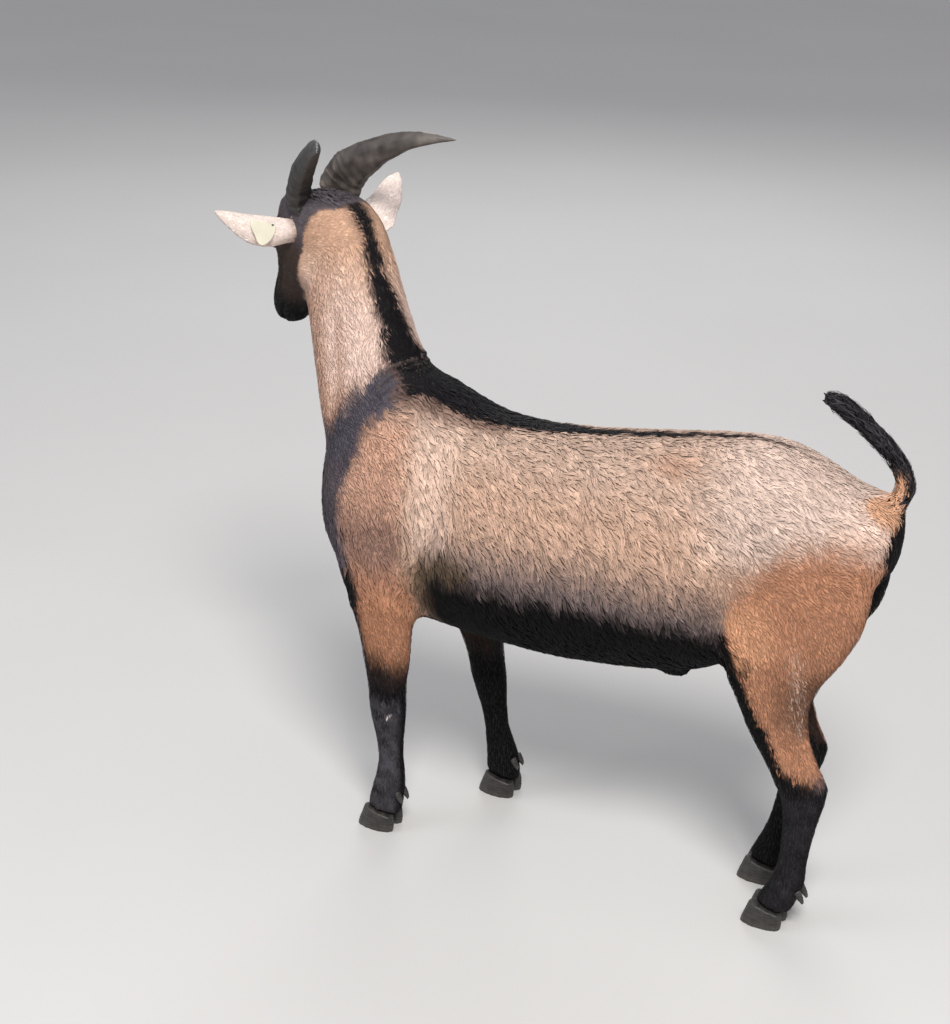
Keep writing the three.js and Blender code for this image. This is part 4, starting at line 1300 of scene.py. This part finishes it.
def make_claw(node):
    """A claw with fine growth rings on its wall and dust in them. Its sole stays flat."""
    mesh, smooth = node_mesh(node)
    height = points_of(mesh)[:, 2]
    low = height.min()
    smooth[height < low + SOLE * MM, 2] = low
    set_points(mesh, smooth)
    normals, local = normals_of(mesh), body(smooth)
    z = (smooth[:, 2] - low) / MM
    rings = 0.28 * np.sin(z * 1.5 + 1.2 * waves(local, 40, 41)) * ramp(1.5, 5, z)
    wall = np.clip(1 - np.abs(normals[:, 2]) * 1.2, 0, 1)
    set_points(mesh, smooth + normals * (rings * wall * MM)[:, None])
    dust = 0.1 + 0.3 * ramp(-0.3, 0.3, rings) + 0.4 * ramp(12, 2, z) + 0.15 * waves(local, 9, 43)
    piece("hoof_" + node, mesh, "horn", blend(HOOF_DARK, HOOF_DUST, dust), [node])


EYE_INK = {
    "white": (0.045, 0.03, 0.022),
    "iris": (0.24, 0.125, 0.045),
    "fibre": (0.40, 0.235, 0.095),
    "rim": (0.035, 0.018, 0.008),
    "pupil": (0.003, 0.003, 0.004),
}
PUPIL_LONG, PUPIL_HIGH = 0.40, 0.17  # half its length and height, as shares of the eye's radius


def eye_colours(along, upright, turn, outward):
    """An eyeball's colours, by place along the pupil and up from it, turn round it, and outwards."""
    fibre = 0.5 + 0.3 * np.sin(turn * 23 + 2 * np.sin(turn * 3))
    fibre += 0.25 * np.sin(turn * 41 + 1.5 * np.sin(turn * 5))
    iris = blend(EYE_INK["iris"], EYE_INK["fibre"], fibre * ramp(0.77, 0.9, outward))
    iris = blend(iris, EYE_INK["rim"], ramp(0.80, 0.755, outward))
    colours = blend(EYE_INK["white"], iris, ramp(0.72, 0.745, outward))
    edge = ((np.abs(along) / PUPIL_LONG) ** 4 + (np.abs(upright) / PUPIL_HIGH) ** 4) ** 0.25
    colours = blend(colours, EYE_INK["rim"], 0.7 * ramp(1.25, 1.0, edge))
    return blend(colours, EYE_INK["pupil"], ramp(1.04, 0.96, edge))


def make_eye(side):
    """An eyeball with a bulging cornea and a wide pupil that lies level with the ground."""
    sign = SIDES[side]
    mesh = bpy.data.meshes.new("eye")
    with edited(mesh) as shape:
        bmesh.ops.create_uvsphere(shape, u_segments=96, v_segments=88, radius=1)
    ball = points_of(mesh)
    axes = np.array(eye_axes(sign))
    ahead, above, outward = ball.T
    cornea = 1 + 0.075 * ramp(0.72, 0.95, outward)
    set_points(mesh, from_head(EYE_AT * (1, sign, 1) + (ball * (cornea * EYE_RADIUS)[:, None]) @ axes))
    if np.linalg.det(axes) * np.linalg.det(TURN) < 0:
        mesh.flip_normals()
    # The ground's level line through the eye, in the ball's own axes.
    level_ahead, level_above, _ = axes @ unit(np.cross(TURN[2], axes[2]))
    along = ahead * level_ahead + above * level_above
    upright = above * level_ahead - ahead * level_above
    colours = eye_colours(along, upright, np.arctan2(above, ahead), outward)
    piece("eyeball_" + side, mesh, "eye", colours, ["eye_" + side])


LASH = {"count": 30, "length": 8.0, "width": 0.5, "colour": (0.012, 0.009, 0.008)}


def lash_roots():
    """The lashes' roots along both upper lids, and their ways out and up, in the head's frame."""
    rows = []
    for sign in (1, -1):
        front, up, out = eye_axes(sign)
        for number in range(LASH["count"]):
            along = LID["long"] * (-0.8 + 1.5 * (number + RNG.uniform(-0.4, 0.4)) / LASH["count"])
            above = lid_half(along) + LID["up"] - LID["tilt"] * along
            reach = EYE_RADIUS + LID["rim"] + 0.2
            level = math.sqrt(max(1.0, reach**2 - along**2 - above**2))
            root = EYE_AT * (1, sign, 1) + front * along + up * above + out * level
            sweep = 0.35 * along / LID["long"] + RNG.normal(0, 0.1)
            rows.append((root, unit(out + front * sweep + up * RNG.uniform(-0.05, 0.2)), up))
    return (np.array(column) for column in zip(*rows))


def make_lashes():
    """Lashes along the upper lids, as strands of the coat."""
    roots, aims, normal = lash_roots()
    length = (LASH["length"] * RNG.uniform(0.7, 1.1, len(roots)))[:, None]
    spine = [roots - aims, roots + aims * length * 0.45 - normal * 0.6, roots + aims * length + normal * 0.8]
    spine = [from_head(place) for place in spine]
    up = [unit(normal @ TURN.T)] * 3
    across = [np.cross(up[0], unit(aims @ TURN.T))] * 3
    wide = np.full(len(roots), LASH["width"] * MM)
    colours = np.tile(LASH["colour"], (len(roots), 1))
    rows = np.full(len(roots), ALL_FLESH.index("head"))
    coat_piece("coat_lashes", STRAND, spine, up, across, wide, colours, from_head(roots), rows)


TAG_CREAM = (0.62, 0.585, 0.47)
STUD_DARK = (0.08, 0.07, 0.065)


def make_tag():
    """The blank ear tag, with its stud where the plate is thickest."""
    mesh, points = node_mesh("ear_tag")
    set_points(mesh, points)
    middle = points.mean(0)
    plane, across, out = np.linalg.svd(points - middle, full_matrices=False)[2]
    height = np.abs((points - middle) @ out)
    stud = points[height > 0.7 * height.max()].mean(0)
    aside = np.hypot((points - stud) @ plane, (points - stud) @ across) / MM
    colours = blend(TAG_CREAM, STUD_DARK, ramp(2.2, 1.4, aside))
    piece("ear_tag_plate", mesh, "tag", colours, ["ear_tag"])


# ---------------------------------------------------------------- floor, light, camera

FLOOR_HALF = 30.0
# In the body's frame, in millimetres.
CAMERA_AT = (-611.9, 2258.8, 1410.0)
CAMERA_AXES = {
    "right": (-0.9005, -0.4337, 0.0326),
    "up": (0.1823, -0.3084, 0.9336),
    "back": (-0.39481, 0.84668, 0.35674),
}


def make_stage():
    mesh = bpy.data.meshes.new("floor")
    corners = [(FLOOR_HALF * x, FLOOR_HALF * y, 0) for x, y in ((-1, -1), (1, -1), (1, 1), (-1, 1))]
    mesh.from_pydata(corners, [], [(0, 1, 2, 3)])
    mesh.materials.append(SURFACES["floor"])
    new_object("floor", mesh)


def area_light(name, place, aim, size, power, colour):
    data = bpy.data.lights.new(name, "AREA")
    data.shape, data.size, data.energy, data.color = "DISK", size, power, colour
    lamp = new_object(name, data)
    lamp.location = place
    lamp.rotation_euler = (Vector(aim) - Vector(place)).to_track_quat("-Z", "Y").to_euler()


def make_light():
    area_light("key", (-1.7, 3.0, 4.3), (0, 0, 0.4), 1.8, 330, (1, 0.98, 0.95))
    area_light("fill", (3.6, 3.0, 2.4), (0, 0, 0.5), 3.0, 60, (0.95, 0.97, 1))
    area_light("back", (1.5, -4.0, 3.2), (0, 0, 0.5), 2.5, 70, (1, 1, 1))
    world = bpy.data.worlds.new("studio")
    world.use_nodes = True
    sky = world.node_tree.nodes["Background"].inputs
    sky["Color"].default_value = (0.92, 0.94, 1.0, 1)
    sky["Strength"].default_value = 0.55
    bpy.context.scene.world = world


def make_camera():
    data = bpy.data.cameras.new("camera")
    data.sensor_fit, data.sensor_height, data.lens = "VERTICAL", 36.0, 70.3
    camera = new_object("camera", data)
    axes = Matrix(list(CAMERA_AXES.values())).transposed()
    camera.matrix_world = Matrix.Translation(from_body(CAMERA_AT)) @ axes.to_4x4()
    bpy.context.scene.camera = camera


# ---------------------------------------------------------------- assembly

# Painted shade: the skin under the coat is darkened a little, for the shade down among the coat's roots.
SKIN_SHADE = 0.95  # the skin is a little darker than the coat over it

make_camera()
make_light()
make_stage()
bpy.context.scene.view_settings.view_transform = "Standard"

skin = Skin(make_skin())
skin_tint = markings(skin.points, skin.normals, skin.rows) * SKIN_SHADE
piece("skin", skin.mesh, "skin", skin_tint, ALL_FLESH)
store(skin.mesh, "lie", "FLOAT_VECTOR", skin.lie)
grow_coat(skin)
make_lashes()
for side in SIDES:
    make_horn(side)
    make_eye(side)
for claw in LEG_CLAWS:
    make_claw("claw_" + claw)
    make_claw("dewclaw_" + claw)
make_tag()
